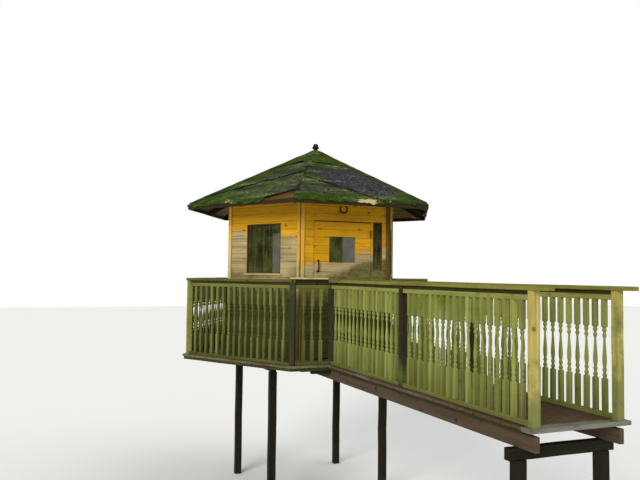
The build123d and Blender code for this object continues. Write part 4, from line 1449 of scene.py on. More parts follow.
    def panel(
        self, shape: Shape, start: Array, way: Array, length: float, ends: Sequence[Cut], side: int = 0
    ) -> None:
        """Rails, batten and spindles between two posts.

        Args:
            shape: Piece that gets them.
            start: Middle of the first post.
            way: Direction in plan.
            length: Post to post.
            ends: Faces of the first and the last post.
            side: Side of the hexagon.
        """
        cross = (-way[1], way[0], 0.0)
        # Bottom rail and top rail, then the batten, whose piece is finished as painted shade in its recess.
        bars = (
            (shape, 0.0, self.bottom_rail, self.rail, 0.25, -0.3),
            (shape, self.spindle_high, self.rail_high, self.rail, 0.15, 0.6),
            (self.battens_in_shade, self.rail_high, self.under, self.batten[0], 0.0, 0.5),
        )
        for piece, bottom, top, width, growth, tone in bars:
            first = start + np.array((0, 0, (bottom + top) / 2))
            self.mill.timber(
                piece, first, first + way * length, cross, (width, top - bottom),
                [[cut] for cut in ends], warp=0.001, side=side, tone=tone, mask=growth,
            )
        self.spindles(shape, start, way, length, side)

    def panels(self) -> None:
        """Panels round the deck and along the bridge."""
        post, half = LAYOUT.post / 2, LAYOUT.bridge_half
        mirror, along, down = np.array(((-1.0, 1.0, 1.0), (1.0, 0.0, 0.0), (0.0, -1.0, 0.0)))
        corner = np.array((-self.corner_r / 2, -LAYOUT.rail_a, 0.0))
        tangent = np.array((COS30, -0.5, 0.0))
        face = corner + tangent * post
        ends = Cut(face, tangent), Cut(face * mirror, tangent * mirror)
        for label, sides in (("left", (1, 2)), ("back", (3,)), ("right", (4, 5))):
            shape = Shape()
            for side in sides:
                self.panel(shape, corner, along, self.corner_r, ends, side)
            shape.keep(f"spindles_{label}", DAMP_BALUSTER, "balustrade", f"balustrade_{label}")
        shape = Shape()
        short = self.corner_r / 2 - half
        near = np.array((-half, -LAYOUT.rail_a, 0.0))
        self.panel(shape, corner, along, short, (ends[0], Cut(near - along * post, along)))
        near = near * mirror
        self.panel(shape, near, along, short, (Cut(near + along * post, along), ends[1]))
        self.packing()
        shape.keep("spindles_front", DAMP_BALUSTER, "balustrade", "balustrade_front")
        for label, hand in (("left", -1), ("right", 1)):
            shape = Shape()
            for near_y, far_y in self.bays:
                start, end = (np.array((hand * half, -y, 0.0)) for y in (near_y, far_y))
                faces = Cut(start + down * post, down), Cut(end - down * post, down)
                self.panel(shape, start, down, far_y - near_y, faces)
            shape.keep(f"bridge_spindles_{label}", BALUSTER, "balustrade", f"bridge_balustrade_{label}")
        self.battens_in_shade.keep("battens_in_shade", BATTEN_IN_SHADE, "balustrade")

    def packing(self) -> None:
        """Packing strips that carry the short handrails one board higher."""
        z = (self.under + LAYOUT.rail_top) / 2
        inner = LAYOUT.bridge_half + HANDRAIL[0] / 2 + 0.0005
        outer = self.corner_r / 2 - self.packing_stop
        # They go with the battens, dark as painted shade.
        for hand in BOTH:
            span, size = (hand * inner, hand * outer), (self.batten[0], HANDRAIL[1])
            self.mill.along_x(self.battens_in_shade, span, -LAYOUT.rail_a, z, size, mask=0.4)

    def posts(self) -> None:
        """Square posts: pale at the bridge's end, brown at its middle, dark at the landing, else green."""
        pale, dark, green, brown = Shape(), Shape(), Shape(), Shape()
        size = (LAYOUT.post, LAYOUT.post)
        for step in range(6):
            angle = math.radians(30 + 60 * step)
            x, y = self.corner_r * math.sin(angle), -self.corner_r * math.cos(angle)
            self.mill.timber(
                dark if x < 0 and y < -1 else green, (x, y, 0), (x, y, self.under),
                (math.cos(angle), math.sin(angle), 0.0), size, bevel=0.004, mask=0.2,
            )
        # distance, piece, growth at the foot with its fall and its most, and what the right post has more
        rows = (
            (self.bays[0][0], dark, (0.75, 1.35, 0.7), 0.0),
            (self.bays[1][0], brown, (0.75, 1.35, 0.7), 0.0),
            (self.bays[1][1], pale, (1.25, 1.7, 1.1), 0.55),
        )
        for reach, shape, foot, more in rows:
            for hand in BOTH:
                self.mill.upright(
                    shape, hand * LAYOUT.bridge_half, -reach, (0, self.under), size, bevel=0.004, step=0.1,
                    mask=from_foot(*foot, more if hand > 0 else 0.0),
                )
        pale.keep("posts_pale", PALE_POST, "balustrade", "balustrade_posts")
        dark.keep("posts_dark", DARK_POST, "balustrade", "balustrade_posts")
        brown.keep("posts_brown", BROWN_POST, "balustrade", "balustrade_posts")
        green.keep("posts_green", BALUSTER, "balustrade", "balustrade_posts")

    def handrails(self) -> None:
        """Flat handrail boards, mitred round the deck and lapped beside the bridge."""
        ring, long, short = Shape(), Shape(), Shape()
        width, thick = HANDRAIL
        z = LAYOUT.rail_top - thick / 2
        half = (LAYOUT.rail_a + width / 2) * TAN30 + SPARE
        worn: dict[str, Any] = {"bevel": 0.005, "warp": 0.002}
        for side in range(1, 6):
            self.mill.along_x(
                ring, (-half, half), -LAYOUT.rail_a, z, HANDRAIL, side=side, ends=mitred(), mask=0.35, **worn
            )
        for hand in BOTH:
            span = (-LAYOUT.handrail_end, width / 2 - LAYOUT.rail_a)
            self.mill.along_y(long, hand * LAYOUT.bridge_half, span, z, HANDRAIL, mask=0.3, **worn)
        z = LAYOUT.rail_top + self.short_handrail[1] / 2
        near = LAYOUT.bridge_half + width / 2 + self.short_gap
        far = self.corner_r / 2 + self.short_lap
        # Painted light and shade on the short caps: pale, worn and lit at the top, darker lower down as
        # painted shade, each board shifted by its own number.
        for hand, stain in ((-1, 0.10), (1, -0.5)):
            self.mill.along_x(
                short, (hand * near, hand * far), -LAYOUT.rail_a, z, self.short_handrail,
                bevel=0.005, warp=0.001, mask=lambda points: stain + (points[..., 2] - z) * self.lit_top_to_shade_slope,
            )
        ring.keep("handrails_deck", DAMP_RAIL, "balustrade", "deck_handrails")
        long.keep("handrails_bridge", RAIL, "balustrade", "bridge_handrails")
        short.keep("handrails_short", CAP_WORN_LIT_TOP_SHADED_SIDE, "balustrade", "short_handrails")


@dataclass
class Cabin:
    """Cladding, lining, trims, windows and sills of the six walls."""

    pitch: float = 0.1125
    lining_pitch: float = 0.14
    board: float = 0.020
    window: Hole = Hole(-0.325, 0.325, 1.177, 1.887)
    sidelight: Hole = Hole(0.423, 0.575, 1.254, 1.930)
    frame: float = 0.014
    side_frame: float = 0.016
    frame_depth: float = 0.050
    door_gap: float = 0.005
    sill: Pair = (0.022, 0.026)
    sill_extra: float = 0.030
    trim: Pair = (0.048, 0.018)
    trim_setback: float = 0.005
    trim_lift: Pair = (0.15, 0.35)
    door_damp: Pair = (2.2, 3.0)
    front_nodes: Sequence[str] = ("front_wall_left", "front_wall_head", "front_wall_right")
    # where the stain gives way on each side, at its left and its right end
    stain_line: Sequence[Pair] = (
        (1.28, 1.52), (1.82, 1.70), (1.70, 1.62), (1.58, 1.66), (1.52, 1.60), (1.40, 1.50),
    )
    mill: Sawmill = field(default_factory=lambda: Sawmill(53))

    def __post_init__(self) -> None:
        """Work out the ends and levels of the walls."""
        self.half = LAYOUT.inner_a * TAN30
        self.top = LAYOUT.eave_low + (LAYOUT.eave_a - LAYOUT.cabin_a) * math.tan(LAYOUT.pitch)
        self.core = LAYOUT.cabin_a - self.board

    def build(self) -> None:
        """Build every piece."""
        self.walls()
        self.trims()
        self.windows()

    def wear(self, side: int) -> Callable[[Array], Array]:
        """Height above the line where the stain gives way on one side, from its left end to its right.

        Args:
            side: Side of the hexagon.

        Returns:
            Mask of the side's boards.
        """
        left, right = self.stain_line[side]

        def height(points: Array) -> Array:
            """Metres above the line; below it the door wall, damp most at its right, counts for more.

            Args:
                points: Points of the boards, drawn on the door side.

            Returns:
                Height of each.
            """
            share = 0.5 + points[..., 0] / (2 * self.half)
            above = points[..., 2] - left - (right - left) * share
            damp = self.door_damp[0] + self.door_damp[1] * np.clip((share - 0.45) / 0.3, 0, 1)
            return np.where(above < 0, above * (1 + damp * (side == 0)), above)

        return height

    def holes(self, side: int) -> list[Hole]:
        """Openings of a side."""
        door = LAYOUT.door.grown(self.door_gap)
        return [self.window] if side else [Hole(door.left, door.right, BELOW, door.high), self.sidelight]

    def walls(self) -> None:
        """Outer boards and inner lining of each side."""
        lining = Shape()
        span, levels = (-self.half, self.half), (0.0, self.top)
        for side in Side:
            shape, number, name = Shape(), side.value, side.name.lower()
            holes = self.holes(number)
            faces = LAYOUT.cabin_a, self.core + 0.0005
            self.mill.courses(shape, span, levels, faces, self.pitch, holes, number, self.wear(number))
            nodes = [f"wall_{name}"] if number else self.front_nodes
            shape.keep(f"cladding_{name}", CLADDING, "wall_boards", *nodes)
            faces = self.core, LAYOUT.inner_a
            self.mill.courses(lining, span, levels, faces, self.lining_pitch, holes, number)
        lining.keep("wall_lining", LINING, "brown_timber")

    def trims(self) -> None:
        """A board each side of every corner; those right of the door wall are dark, partly weathered and
        partly painted shade.
        """
        shape, shaded = Shape(), Shape()
        middle = LAYOUT.cabin_a / COS30 / 2 - self.trim_setback - self.trim[0] / 2
        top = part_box("corner_trims")[1].z - LAYOUT.deck_z
        for side in range(6):
            wear = self.wear(side)
            for hand in BOTH:
                lift = self.trim_lift[(side, hand) == (1, 1)]
                self.mill.upright(
                    shaded if (side, hand) in ((0, 1), (5, -1)) else shape, hand * middle,
                    -LAYOUT.cabin_a - self.trim[1] / 2, (0, top), self.trim, warp=0.001, side=side,
                    mask=lambda points: wear(points) + lift,
                )
        shape.keep("trims", TRIM, "trim_boards", "corner_trims")
        shaded.keep("trims_shaded", SHADED_TRIM, "trim_boards", "corner_trims")

    def ring(self, shape: Shape, hole: Hole, thick: float, side: int) -> None:
        """Four mitred boards that line an opening: the lower, the upper, the left and the right one.

        Args:
            shape: Piece that gets them.
            hole: The opening.
            thick: Thickness of the boards.
            side: Side of the hexagon.
        """
        y = -LAYOUT.cabin_a + self.frame_depth / 2
        plain: dict[str, Any] = {"bevel": 0.0015, "warp": 0.0, "side": side}
        size = (thick, self.frame_depth)
        across, upward = (hole.left, hole.right), (hole.low, hole.high)
        mitres = [
            [Cut((x, y, z), (1, 0, -1 if row == column else 1)) for column, x in enumerate(across)]
            for row, z in enumerate(upward)
        ]
        for row, z in enumerate((hole.low + thick / 2, hole.high - thick / 2)):
            ends = [[cut] for cut in mitres[row]]
            self.mill.timber(shape, (hole.left, y, z), (hole.right, y, z), (0, 0, 1), size, ends, **plain)
        for column, x in enumerate((hole.left + thick / 2, hole.right - thick / 2)):
            ends = [[row[column]] for row in mitres]
            self.mill.upright(shape, x, y, upward, size, ends=ends, **plain)

    def windows(self) -> None:
        """Frames and sills."""
        frames, sills = Shape(), Shape()
        half = self.window.right + self.sill_extra
        for side in range(1, 6):
            self.ring(frames, self.window, self.frame, side)
            self.mill.along_x(
                sills, (-half, half), -LAYOUT.cabin_a - self.sill[0] / 2, self.window.low - self.sill[1] / 2,
                self.sill, side=side, mask=-0.5,
            )
        self.ring(frames, self.sidelight, self.side_frame, 0)
        frames.keep("window_linings", BROWN, "brown_timber", "window_frames")
        sills.keep("sills", TRIM, "trim_boards", "window_sills")


@dataclass
class Door:
    """Boarded leaf with its stiles and rails, and the pull handle."""

    board: float = 0.020
    brace: Pair = (0.095, 0.025)
    inset: float = 0.014
    pane: Hole = Hole(-0.2555, 0.1475, 1.339, 1.703)
    lap: float = 0.012
    handle_x: float = -0.427
    handle_z: float = 1.288
    handle: float = 0.166
    bow: float = 0.028
    standoff: float = 0.005
    bar: Pair = (0.0088, 0.0085)
    swell: Pair = (0.008, -0.003)
    pad_share: float = 0.10
    mill: Sawmill = field(default_factory=lambda: Sawmill(67))

    def build(self, cabin: Cabin) -> None:
        """Build every piece, its boards in line with the wall's courses.

        Args:
            cabin: The cabin it belongs to.
        """
        self.leaf(cabin)
        self.ledges()
        self.pull()

    def leaf(self, cabin: Cabin) -> None:
        """Level boards parted round the pane.

        Args:
            cabin: The cabin it belongs to.
        """
        shape, door = Shape(), LAYOUT.door
        levels = (math.floor(door.low / cabin.pitch) * cabin.pitch, door.high)
        faces = (LAYOUT.cabin_a, LAYOUT.cabin_a - self.board)
        holes = [self.pane, Hole(door.left, door.right, BELOW, door.low)]
        self.mill.courses(
            shape, (door.left, door.right), levels, faces, cabin.pitch, holes, 0, cabin.wear(0)
        )
        shape.keep("leaf_boards", CLADDING, "wall_boards", "door_boards", body=Body.DOOR)

    def ledges(self) -> None:
        """Two stiles and three rails behind the boards."""
        shape, edge = Shape(), LAYOUT.door.grown(-self.inset)
        width, thick = self.brace
        y = -LAYOUT.cabin_a + self.board + thick / 2
        lock, head = self.pane.low - self.lap, self.pane.high + self.lap
        for x in (edge.left + width / 2, edge.right - width / 2):
            self.mill.upright(shape, x, y, (edge.low, edge.high), self.brace, warp=0.0004)
        for low, high in ((edge.low, edge.low + width), (lock - width, lock), (head, edge.high)):
            z = (low + high) / 2
            start, end = (edge.left + width, y, z), (edge.right - width, y, z)
            self.mill.timber(shape, start, end, (0, 0, 1), (high - low, thick), warp=0.0004)
        shape.keep("leaf_ledges", LINING, "brown_timber", "door_ledges", body=Body.DOOR)

    def pull(self) -> None:
        """Forged pull: a round bar bowed between two flattened ends.

        The bar's middle line is a half wave: it stands out from the door by the bow times a power of the
        sine of the share of its length, and its radii swell into pads at both ends.
        """
        shape = Shape()
        share = np.linspace(0, 1, 25)
        y = -LAYOUT.cabin_a - self.standoff - self.bow * np.sin(math.pi * share) ** 0.55
        path = np.stack((np.full(25, self.handle_x), y, self.handle_z + (share - 0.5) * self.handle), axis=1)
        tangent = np.gradient(path, axis=0)
        tangent /= np.linalg.norm(tangent, axis=1, keepdims=True)
        pad = np.exp(-((share / self.pad_share) ** 2)) + np.exp(-(((1 - share) / self.pad_share) ** 2))
        radii = np.array(self.bar) + pad[:, None] * self.swell
        rings = carried(path, around(12) * radii[:, None, :], X_WAY, np.cross(tangent, X_WAY))
        rings[..., 1] = np.minimum(rings[..., 1], -LAYOUT.cabin_a)
        shape.tubes(rings[None], rings[None])
        shape.keep("pull_handle", BLACK_IRON, "dark_iron", "door_handle", body=Body.DOOR, smooth=60.0)


@dataclass
class Roof:
    """Rafters, boards, fascia, felt and finial of the six slopes."""

    board: float = 0.018
    pitch: float = 0.1180
    rafter: Pair = (0.045, 0.070)
    boss: float = 0.095
    fascia_t: float = 0.018
    felt_t: float = 0.004
    apex_hole: float = 0.032
    torn_along: float = 0.520
    torn_up: float = 0.255
    old_wood: float = -0.45
    gap: float = 0.003
    board_spare: float = 0.03
    rafter_spare: float = 0.05
    bare_reach: Pair = (0.75, 0.45)
    mill: Sawmill = field(default_factory=lambda: Sawmill(71))

    def __post_init__(self) -> None:
        """Work out slopes and levels."""
        self.sin = math.sin(LAYOUT.pitch)
        self.cos = math.cos(LAYOUT.pitch)
        self.tan = math.tan(LAYOUT.pitch)
        self.half = LAYOUT.eave_a * TAN30
        self.eave_top = LAYOUT.eave_low + self.board / self.cos
        self.slope = LAYOUT.eave_a / self.cos
        self.normal = np.array((0.0, -self.sin, self.cos))

    def build(self) -> None:
        """Build every piece."""
        self.rafters()
        self.boards()
        self.fascias()
        Felt(self).build()
        self.finial()

    def width(self, up: Array | float) -> Array | float:
        """Half width of a slope at a distance up it."""
        return self.half * (1 - up / self.slope)

    def on_slope(self, x: Array, up: Array, lift: Array | float) -> Array:
        """Points of the door slope.

        Args:
            x: Distance along the eave.
            up: Distance up the slope from the eave.
            lift: Distance off the boards.

        Returns:
            Points, (..., 3).
        """
        flat = np.stack((x, up * self.cos - LAYOUT.eave_a, self.eave_top + up * self.sin), axis=-1)
        return flat + np.asarray(lift)[..., None] * self.normal

    def up(self, points: Array) -> Array:
        """Distance of the points up the slope."""
        return (points[..., 1] + LAYOUT.eave_a) / self.cos

    def rafters(self) -> None:
        """Six common and six hip rafters, plumb at the ends and level below."""
        shape = Shape()
        width, depth = self.rafter
        apex, reach = LAYOUT.eave_low + LAYOUT.eave_a * self.tan, LAYOUT.eave_a - self.fascia_t
        level = Cut((0, 0, LAYOUT.fascia_low), (0, 0, 1))
        # fall, height over the middle, reach and turn of the first one
        kinds = (
            (self.tan, apex, reach, 0.0),
            (self.tan * COS30, apex - width / 4 * self.tan, (reach - width / 4) / COS30, 0.5),
        )
        for fall, top, far, turn in kinds:
            middle, past = top - depth / 2 * math.hypot(1, fall), far + self.rafter_spare
            ends = [Cut((0, -self.boss, 0), (0, 1, 0))], [Cut((0, -far, 0), (0, 1, 0)), level]
            for step in range(6):
                self.mill.timber(
                    shape, (0, 0, middle), (0, -past, middle - past * fall), (1, 0, 0), self.rafter, ends,
                    warp=0.001, side=step + turn,
                )
        shape.keep("rafter_timbers", FASCIA, "brown_timber", "rafters")

    def boards(self) -> None:
        """Boards along the eaves, mitred at the hips."""
        shape = Shape()
        length = self.slope - self.apex_hole / self.cos
        count = int(length / self.pitch)
        pitch = length / count
        for side in range(6):
            for index in range(count):
                half, up = self.width(index * pitch) + self.board_spare, (index + 0.5) * pitch
                start, end = self.on_slope(np.array((-half, half)), np.full(2, up), -self.board / 2)
                self.mill.timber(
                    shape, start, end, (0, self.cos, self.sin), (pitch - self.gap, self.board),
                    mitred(0.0015), bevel=0.002, warp=0.0005, side=side, step=0.12,
                    mask=self.laid_bare if side == 1 else self.old_wood,
                )
        shape.keep("roof_boarding", ROOF_BOARDS, "brown_timber", "roof_boards")

    def laid_bare(self, points: Array) -> Array:
        """Fresh wood, above 0, on top of the boards at the torn corner; old wood elsewhere.

        Args:
            points: Points of the boards.

        Returns:
            How fresh each is.
        """
        up = self.up(points)
        top = self.eave_top + up * self.sin - points[..., 2]
        along, upward = self.bare_reach
        near = np.clip(1 - np.hypot((self.half - points[..., 0]) / along, up / upward), -1, 1)
        return np.where(top < self.board * 0.5, near, self.old_wood)

    def fascias(self) -> None:
        """Plumb boards under the eaves."""
        shape = Shape()
        half, low = self.half + SPARE, LAYOUT.fascia_low
        top = LAYOUT.eave_low + self.fascia_t / 2 * self.tan
        for side in range(6):
            self.mill.along_x(
                shape, (-half, half), -LAYOUT.eave_a + self.fascia_t / 2, (low + top) / 2,
                (self.fascia_t, top - low), ends=mitred(), bevel=0.002, side=side,
            )
        shape.keep("fascias", FASCIA, "brown_timber", "fascia_boards")

    def finial(self) -> None:
        """Small turned knob on a spigot: a profile revolved about the middle."""
        foot, top = (corner.z - LAYOUT.deck_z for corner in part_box("finial"))
        # radius, and depth below the top
        profile = np.array((
            (0.022, top - foot), (0.022, 0.100), (0.034, 0.092), (0.036, 0.084), (0.052, 0.074),
            (0.060, 0.066), (0.058, 0.058), (0.044, 0.048), (0.040, 0.036), (0.041, 0.024),
            (0.036, 0.012), (0.024, 0.004), (0.010, 0.0),
        ))
        path = np.array((0.0, 0.0, top)) - profile[:, 1:] * np.array((0.0, 0.0, 1.0))
        rings = carried(path, around(24) * profile[:, :1, None], X_WAY, np.array((0.0, 1.0, 0.0)))
        shape = Shape()
        shape.tubes(rings[None], rings[None])
        shape.keep("finial_knob", BLACK_IRON, "dark_iron", "finial")


@dataclass
class Unevenness:
    """Smooth unevenness: a sum of waves whose lengths and directions come by chance."""

    seed: int
    waves: int = 28
    shortest: float = 0.08
    longest: float = 0.9

    def __post_init__(self) -> None:
        """Choose the waves."""
        rng = np.random.default_rng(self.seed)
        length = np.exp(rng.uniform(math.log(self.shortest), math.log(self.longest), self.waves))
        angle = rng.uniform(0, math.pi, self.waves)
        self.turn = 2 * math.pi / length * np.stack((np.cos(angle), np.sin(angle)))
        self.phase = rng.uniform(0, 2 * math.pi, self.waves)
        self.share = length / length.sum()

    def at(self, x: Array, y: Array) -> Array:
        """Unevenness between about -1 and 1 at these places."""
        angle = x[..., None] * self.turn[0] + y[..., None] * self.turn[1] + self.phase
        return (np.sin(angle) * self.share).sum(axis=-1) * 3.0


@dataclass
class Felt:
    """Old felt laid in slanting sheets, with curled laps, strips over the hips and one torn corner."""

    roof: Roof
    drip: float = 0.046
    over: float = 0.010
    lap: float = 0.04
    top: float = 1.95
    split_x: float = 0.37
    eave_lap: Pair = (0.34, 0.42)
    clearance: float = 0.0015
    layer_rise: float = 0.005
    strip_half: float = 0.085
    rows: int = 30
    stations: int = 64
    # where each lap leaves the left hip and meets the right hip, up the slope; below 0 it meets the eave
    laps: Sequence[Pair] = ((0.80, -0.52), (0.28, 1.02), (0.9, 0.35), (0.45, 0.95), (1.0, 0.4), (0.35, 0.9))
    caps: Sequence[Pair] = ((1.42, 1.30), (1.30, 1.48), (1.5, 1.3), (1.35, 1.5), (1.45, 1.3), (1.3, 1.5))

    def build(self) -> None:
        """Lay three sheets on every slope, then the hip strips."""
        shape = Shape()
        down = np.array((0.0, -self.lap))
        for side, (lap, cap) in enumerate(zip(self.laps, self.caps)):
            eave, rest = self.eave_line(side)
            low, high = self.line(*lap), self.line(*cap)
            self.sheet(shape, side, 0, eave, low, True)
            parted = lap[1] < 0
            start = np.concatenate((low[:1] + down, rest)) if parted else low + down
            self.sheet(shape, side, 1, start, high, parted)
            self.sheet(shape, side, 2, high + down, self.line(self.top, self.top), False)
        self.hips(shape)
        shape.keep("felt", FELT, "felt", "roof_felt", smooth=50.0)
        # Painted shadow: a dark fillet in the gap up the torn hip.
        self.shadow_fillet()

    def eave_line(self, side: int) -> tuple[Array, Array]:
        """Lower edge of the lowest sheet, and the part of the eave that a second sheet takes.

        Args:
            side: Side of the hexagon.

        Returns:
            Both lines, as points of across and up the slope.
        """
        half, up = self.roof.half, self.roof.torn_up
        if side == 1:
            torn = (half - self.roof.torn_along, 0.0), (self.roof.width(up), up)
            return np.array(((-half, 0.0), *torn)), np.array(((half, 0.0),))
        if side == 0:
            start, stop = self.eave_lap
            return np.array(((-half, 0.0), (stop, 0.0))), np.array(((start, 0.0), (half, 0.0)))
        return np.array(((-half, 0.0), (half, 0.0))), np.array(((half, 0.0),))

    def line(self, left: float, right: float) -> Array:
        """Straight lap from the left hip to the right hip, or to the eave."""
        end = (self.roof.width(right), right) if right >= 0 else (self.split_x, 0.0)
        return np.array(((-self.roof.width(left), left), end))

    def along(self, line: Array) -> Array:
        """Points spaced evenly along a broken line.

        Args:
            line: Its corners.

        Returns:
            The points.
        """
        length = np.concatenate(((0.0,), np.cumsum(np.linalg.norm(np.diff(line, axis=0), axis=1))))
        place = np.linspace(0, length[-1], self.stations)
        return np.stack([np.interp(place, length, values) for values in line.T], axis=1)

    def square(self, top: Array) -> Array:
        """Directions square to a grid of points."""
        normal = np.cross(np.gradient(top, axis=0), np.gradient(top, axis=1))
        return normal / np.maximum(np.linalg.norm(normal, axis=-1, keepdims=True), 1e-9)

    def doubled(self, top: Array, normal: Array) -> Array:
        """A grid and the same grid a felt's thickness inwards, as rings."""
        return np.concatenate((top, (top - normal * self.roof.felt_t)[:, ::-1]), axis=1)

    def sheet(self, shape: Shape, side: int, layer: int, low: Array, high: Array, eave: bool) -> None:
        """One sheet between a lower and an upper line.

        A grid point is the blend of the two lines by its row, lifted off the boards by smooth unevenness,
        by the layer below it and by a curl along the lower edge. Where the sheet reaches the eave, two
        more rows carry it over the edge and down.

        Args:
            shape: Piece that gets the sheet.
            side: Side of the hexagon.
            layer: 0 for the lowest sheet.
            low: Lower line in slope coordinates.
            high: Upper line.
            eave: True where the lower line lies on the eave.
        """
        share = np.linspace(0, 1, self.rows)
        row = share[None, :, None] ** 1.3
        grid = self.along(low)[:, None, :] * (1 - row) + self.along(high)[:, None, :] * row
        x, up = np.moveaxis(grid, -1, 0)
        rough = Unevenness(100 + side * 7 + layer)
        fine = Unevenness(300 + side * 7 + layer, 30, 0.03, 0.12)
        torn = np.clip(up[:, :1] / 0.05, 0, 1)
        turn_up = (0.3 + 1.6 * torn) if eave and layer == 0 else 1.0
        curl = np.exp(-share / 0.06) * (0.010 + 0.014 * np.clip(rough.at(x * 2.5, up), 0, 1)) * turn_up
        bump = 0.004 * rough.at(x, up) + 0.0012 * fine.at(x, up)
        near_hip = np.clip((self.roof.width(up) - np.abs(x)) / 0.05, 0, 1)
        loose = (self.layer_rise * layer + np.maximum(bump + 0.003, 0.0) + curl) * (0.35 + 0.65 * near_hip)
        top = self.roof.on_slope(x, up, self.roof.felt_t + self.clearance + loose)
        if eave:
            reach = np.clip((0.02 - up[:, :1]) / 0.02, 0, 1)
            drop = self.drip * (0.75 + 0.5 * rough.at(x[:, :1] * 3, up[:, :1])) * reach
            outer = top[:, :1] + np.stack((0 * reach, -self.over * reach, 0 * reach), axis=-1)
            lower = outer + np.stack((0 * reach, 0.001 * reach, -np.maximum(drop, 0.004)), axis=-1)
            top = np.concatenate((lower, outer + np.array((0, 0, -0.002)), top), axis=1)
        rings = self.doubled(top, self.square(top))
        shape.tubes(rings[None], rings[None], self.pale(side, rings), self.moss(side, layer, rings), side)

    def moss(self, side: int, layer: int, points: Array) -> Array | float:
        """How bare the felt is.

        Args:
            side: Side of the hexagon.
            layer: 0 for the lowest sheet.
            points: Points of the sheet.

        Returns:
            1 where it is bare, 0 where filmed over, -1 under moss.
        """
        x, up = points[..., 0], self.roof.up(points)
        if side == 0 and layer == 1:
            return 1.7 * np.exp(-(((x - 0.22) / 0.58) ** 2) - (((up - 0.66) / 0.50) ** 2)) - 0.35
        if layer == 2:
            return -0.65
        return -0.15 + 0.4 * np.sin(x * 3 + side) if layer else 0.10 - 0.45 * np.clip(1 - up / 0.30, 0, 1)

    def pale(self, side: int, points: Array) -> Array:
        """Worn pale edges: along the eave right of the middle of the door slope, and here and there.

        Args:
            side: Side of the hexagon.
            points: Points of the sheet.

        Returns:
            How worn each point is.
        """
        x, up = points[..., 0], self.roof.up(points)
        edge = np.clip(1 - up / 0.16, 0, 1)
        if side:
            return edge * 0.5 * (1 + np.sin(x * 4 + side * 2.1)) / 2
        left = self.laps[0][0]
        lap = np.abs(up - (self.split_x - x) * left / (self.split_x + self.roof.width(left))) / 0.035
        worn = np.exp(-(lap**2)) * np.clip((x + 0.35) / 0.3, 0, 1)
        return np.maximum(edge * np.exp(-(((x - 0.02) / 0.30) ** 2)) * 1.10, worn * 0.70)

    def shadow_fillet(self) -> None:
        """Painted shadow in the gap up the hip where the strip has gone: a flat dark fillet under the
        sheets' edges.
        """
        shape = Shape()
        up = np.linspace(self.roof.torn_up * 0.9, 1.30, 24)
        middle = self.roof.on_slope(-self.roof.width(up), up, 0.004)
        along = unit(middle[-1] - middle[0])
        across = unit(np.cross(along, (0.0, 0.0, 1.0)))
        wide = 0.050 * (1 - (up - up[0]) / (up[-1] - up[0])) ** 6 + 0.009
        corner = np.array(((1, -0.2), (0.5, 0.25), (0, 0.35), (-0.5, 0.25), (-1, -0.2), (0, -0.1)))
        rings = carried(middle, wide[:, None, None] * corner, across, np.cross(across, along))
        shape.tubes(rings[None], rings[None])
        shape.keep("hip_shadow_fillet", LEG, "brown_timber")

    def hips(self, shape: Shape) -> None:
        """Strips folded over the hips; the one left of the door has gone below its upper part.

        A strip's grid runs up the hip; across it the distance from the hip goes from one slope to the
        other, and each point lies on its own slope.

        Args:
            shape: Piece that gets them.
        """
        for side in range(6):
            up = np.linspace(0.02 if side else 1.18, self.top, 44)[:, None]
            reach = np.linspace(-1, 1, 13)[None, :]
            rough = Unevenness(500 + side)
            ragged = self.strip_half + 0.012 * rough.at(up * 3, 0 * up)
            across = reach * np.minimum(ragged, self.roof.width(up) * 0.9 + 0.004)
            lift = self.roof.felt_t * 2 + 0.011 + 0.004 * (rough.at(up * 2, across * 4) + 1 - np.abs(reach))
            right = self.roof.on_slope(np.abs(across) - self.roof.width(up), up + 0 * across, lift)
            top = np.where((across >= 0)[..., None], right, turned(right * (-1, 1, 1), 1))
            normal = self.square(top)
            rings = self.doubled(top, normal * np.sign(normal[..., 2:]))
            shape.tubes(rings[None], rings[None], 0.15 if side else 0.35, -0.35 if side else 0.0, side)


@dataclass
class Horseshoe:
    """Old horseshoe over the door: a grooved bar carried round an open curve."""

    x: float = -0.042
    z: float = 2.093
    radius: float = 0.0525
    web: float = 0.023
    thick: float = 0.009
    mouth: float = math.radians(37.0)
    groove: float = 0.0022
    groove_end: float = 0.78

    def build(self) -> None:
        """Carry the section round: widest at the toe, narrower at the heels, with a groove for the nails."""
        share = np.linspace(0, 1, 57)
        angle = math.pi / 2 + self.mouth + share * (2 * math.pi - 2 * self.mouth)
        cos, sin, zero = np.cos(angle), np.sin(angle), 0 * angle
        heel = np.abs(share - 0.5) * 2
        upper = np.clip(sin, 0, 1)
        side = np.sign(cos) * np.abs(cos) ** (1 - 0.5 * upper)
        z = self.z + self.radius * (1 + 0.12 * upper) * sin
        path = np.stack((self.x + self.radius * side, zero - LAYOUT.cabin_a - 0.0005, z), axis=1)
        web = self.web * (1 - 0.28 * heel**2) / 2
        # share of the half web, share of the thickness, and 1 in the groove
        section = np.array((
            (-1, 0, 0), (-1, 0.8, 0), (-0.86, 1, 0), (0.05, 1, 0), (0.2, 1, 1), (0.45, 1, 1), (0.6, 1, 0),
            (0.86, 1, 0), (1, 0.8, 0), (1, 0, 0),
        )).T
        stand = section[1] * self.thick - self.groove * (heel < self.groove_end)[:, None] * section[2]
        plan = np.stack((section[0] * web[:, None], stand), axis=-1)
        rings = carried(path, plan, np.stack((cos, zero, sin), axis=1), np.array((0.0, -1.0, 0.0)))
        shape = Shape()
        shape.tubes(rings[None], rings[None])
        shape.keep("horseshoe_iron", RUSTY_IRON, "rusty_iron", "horseshoe", smooth=40.0)


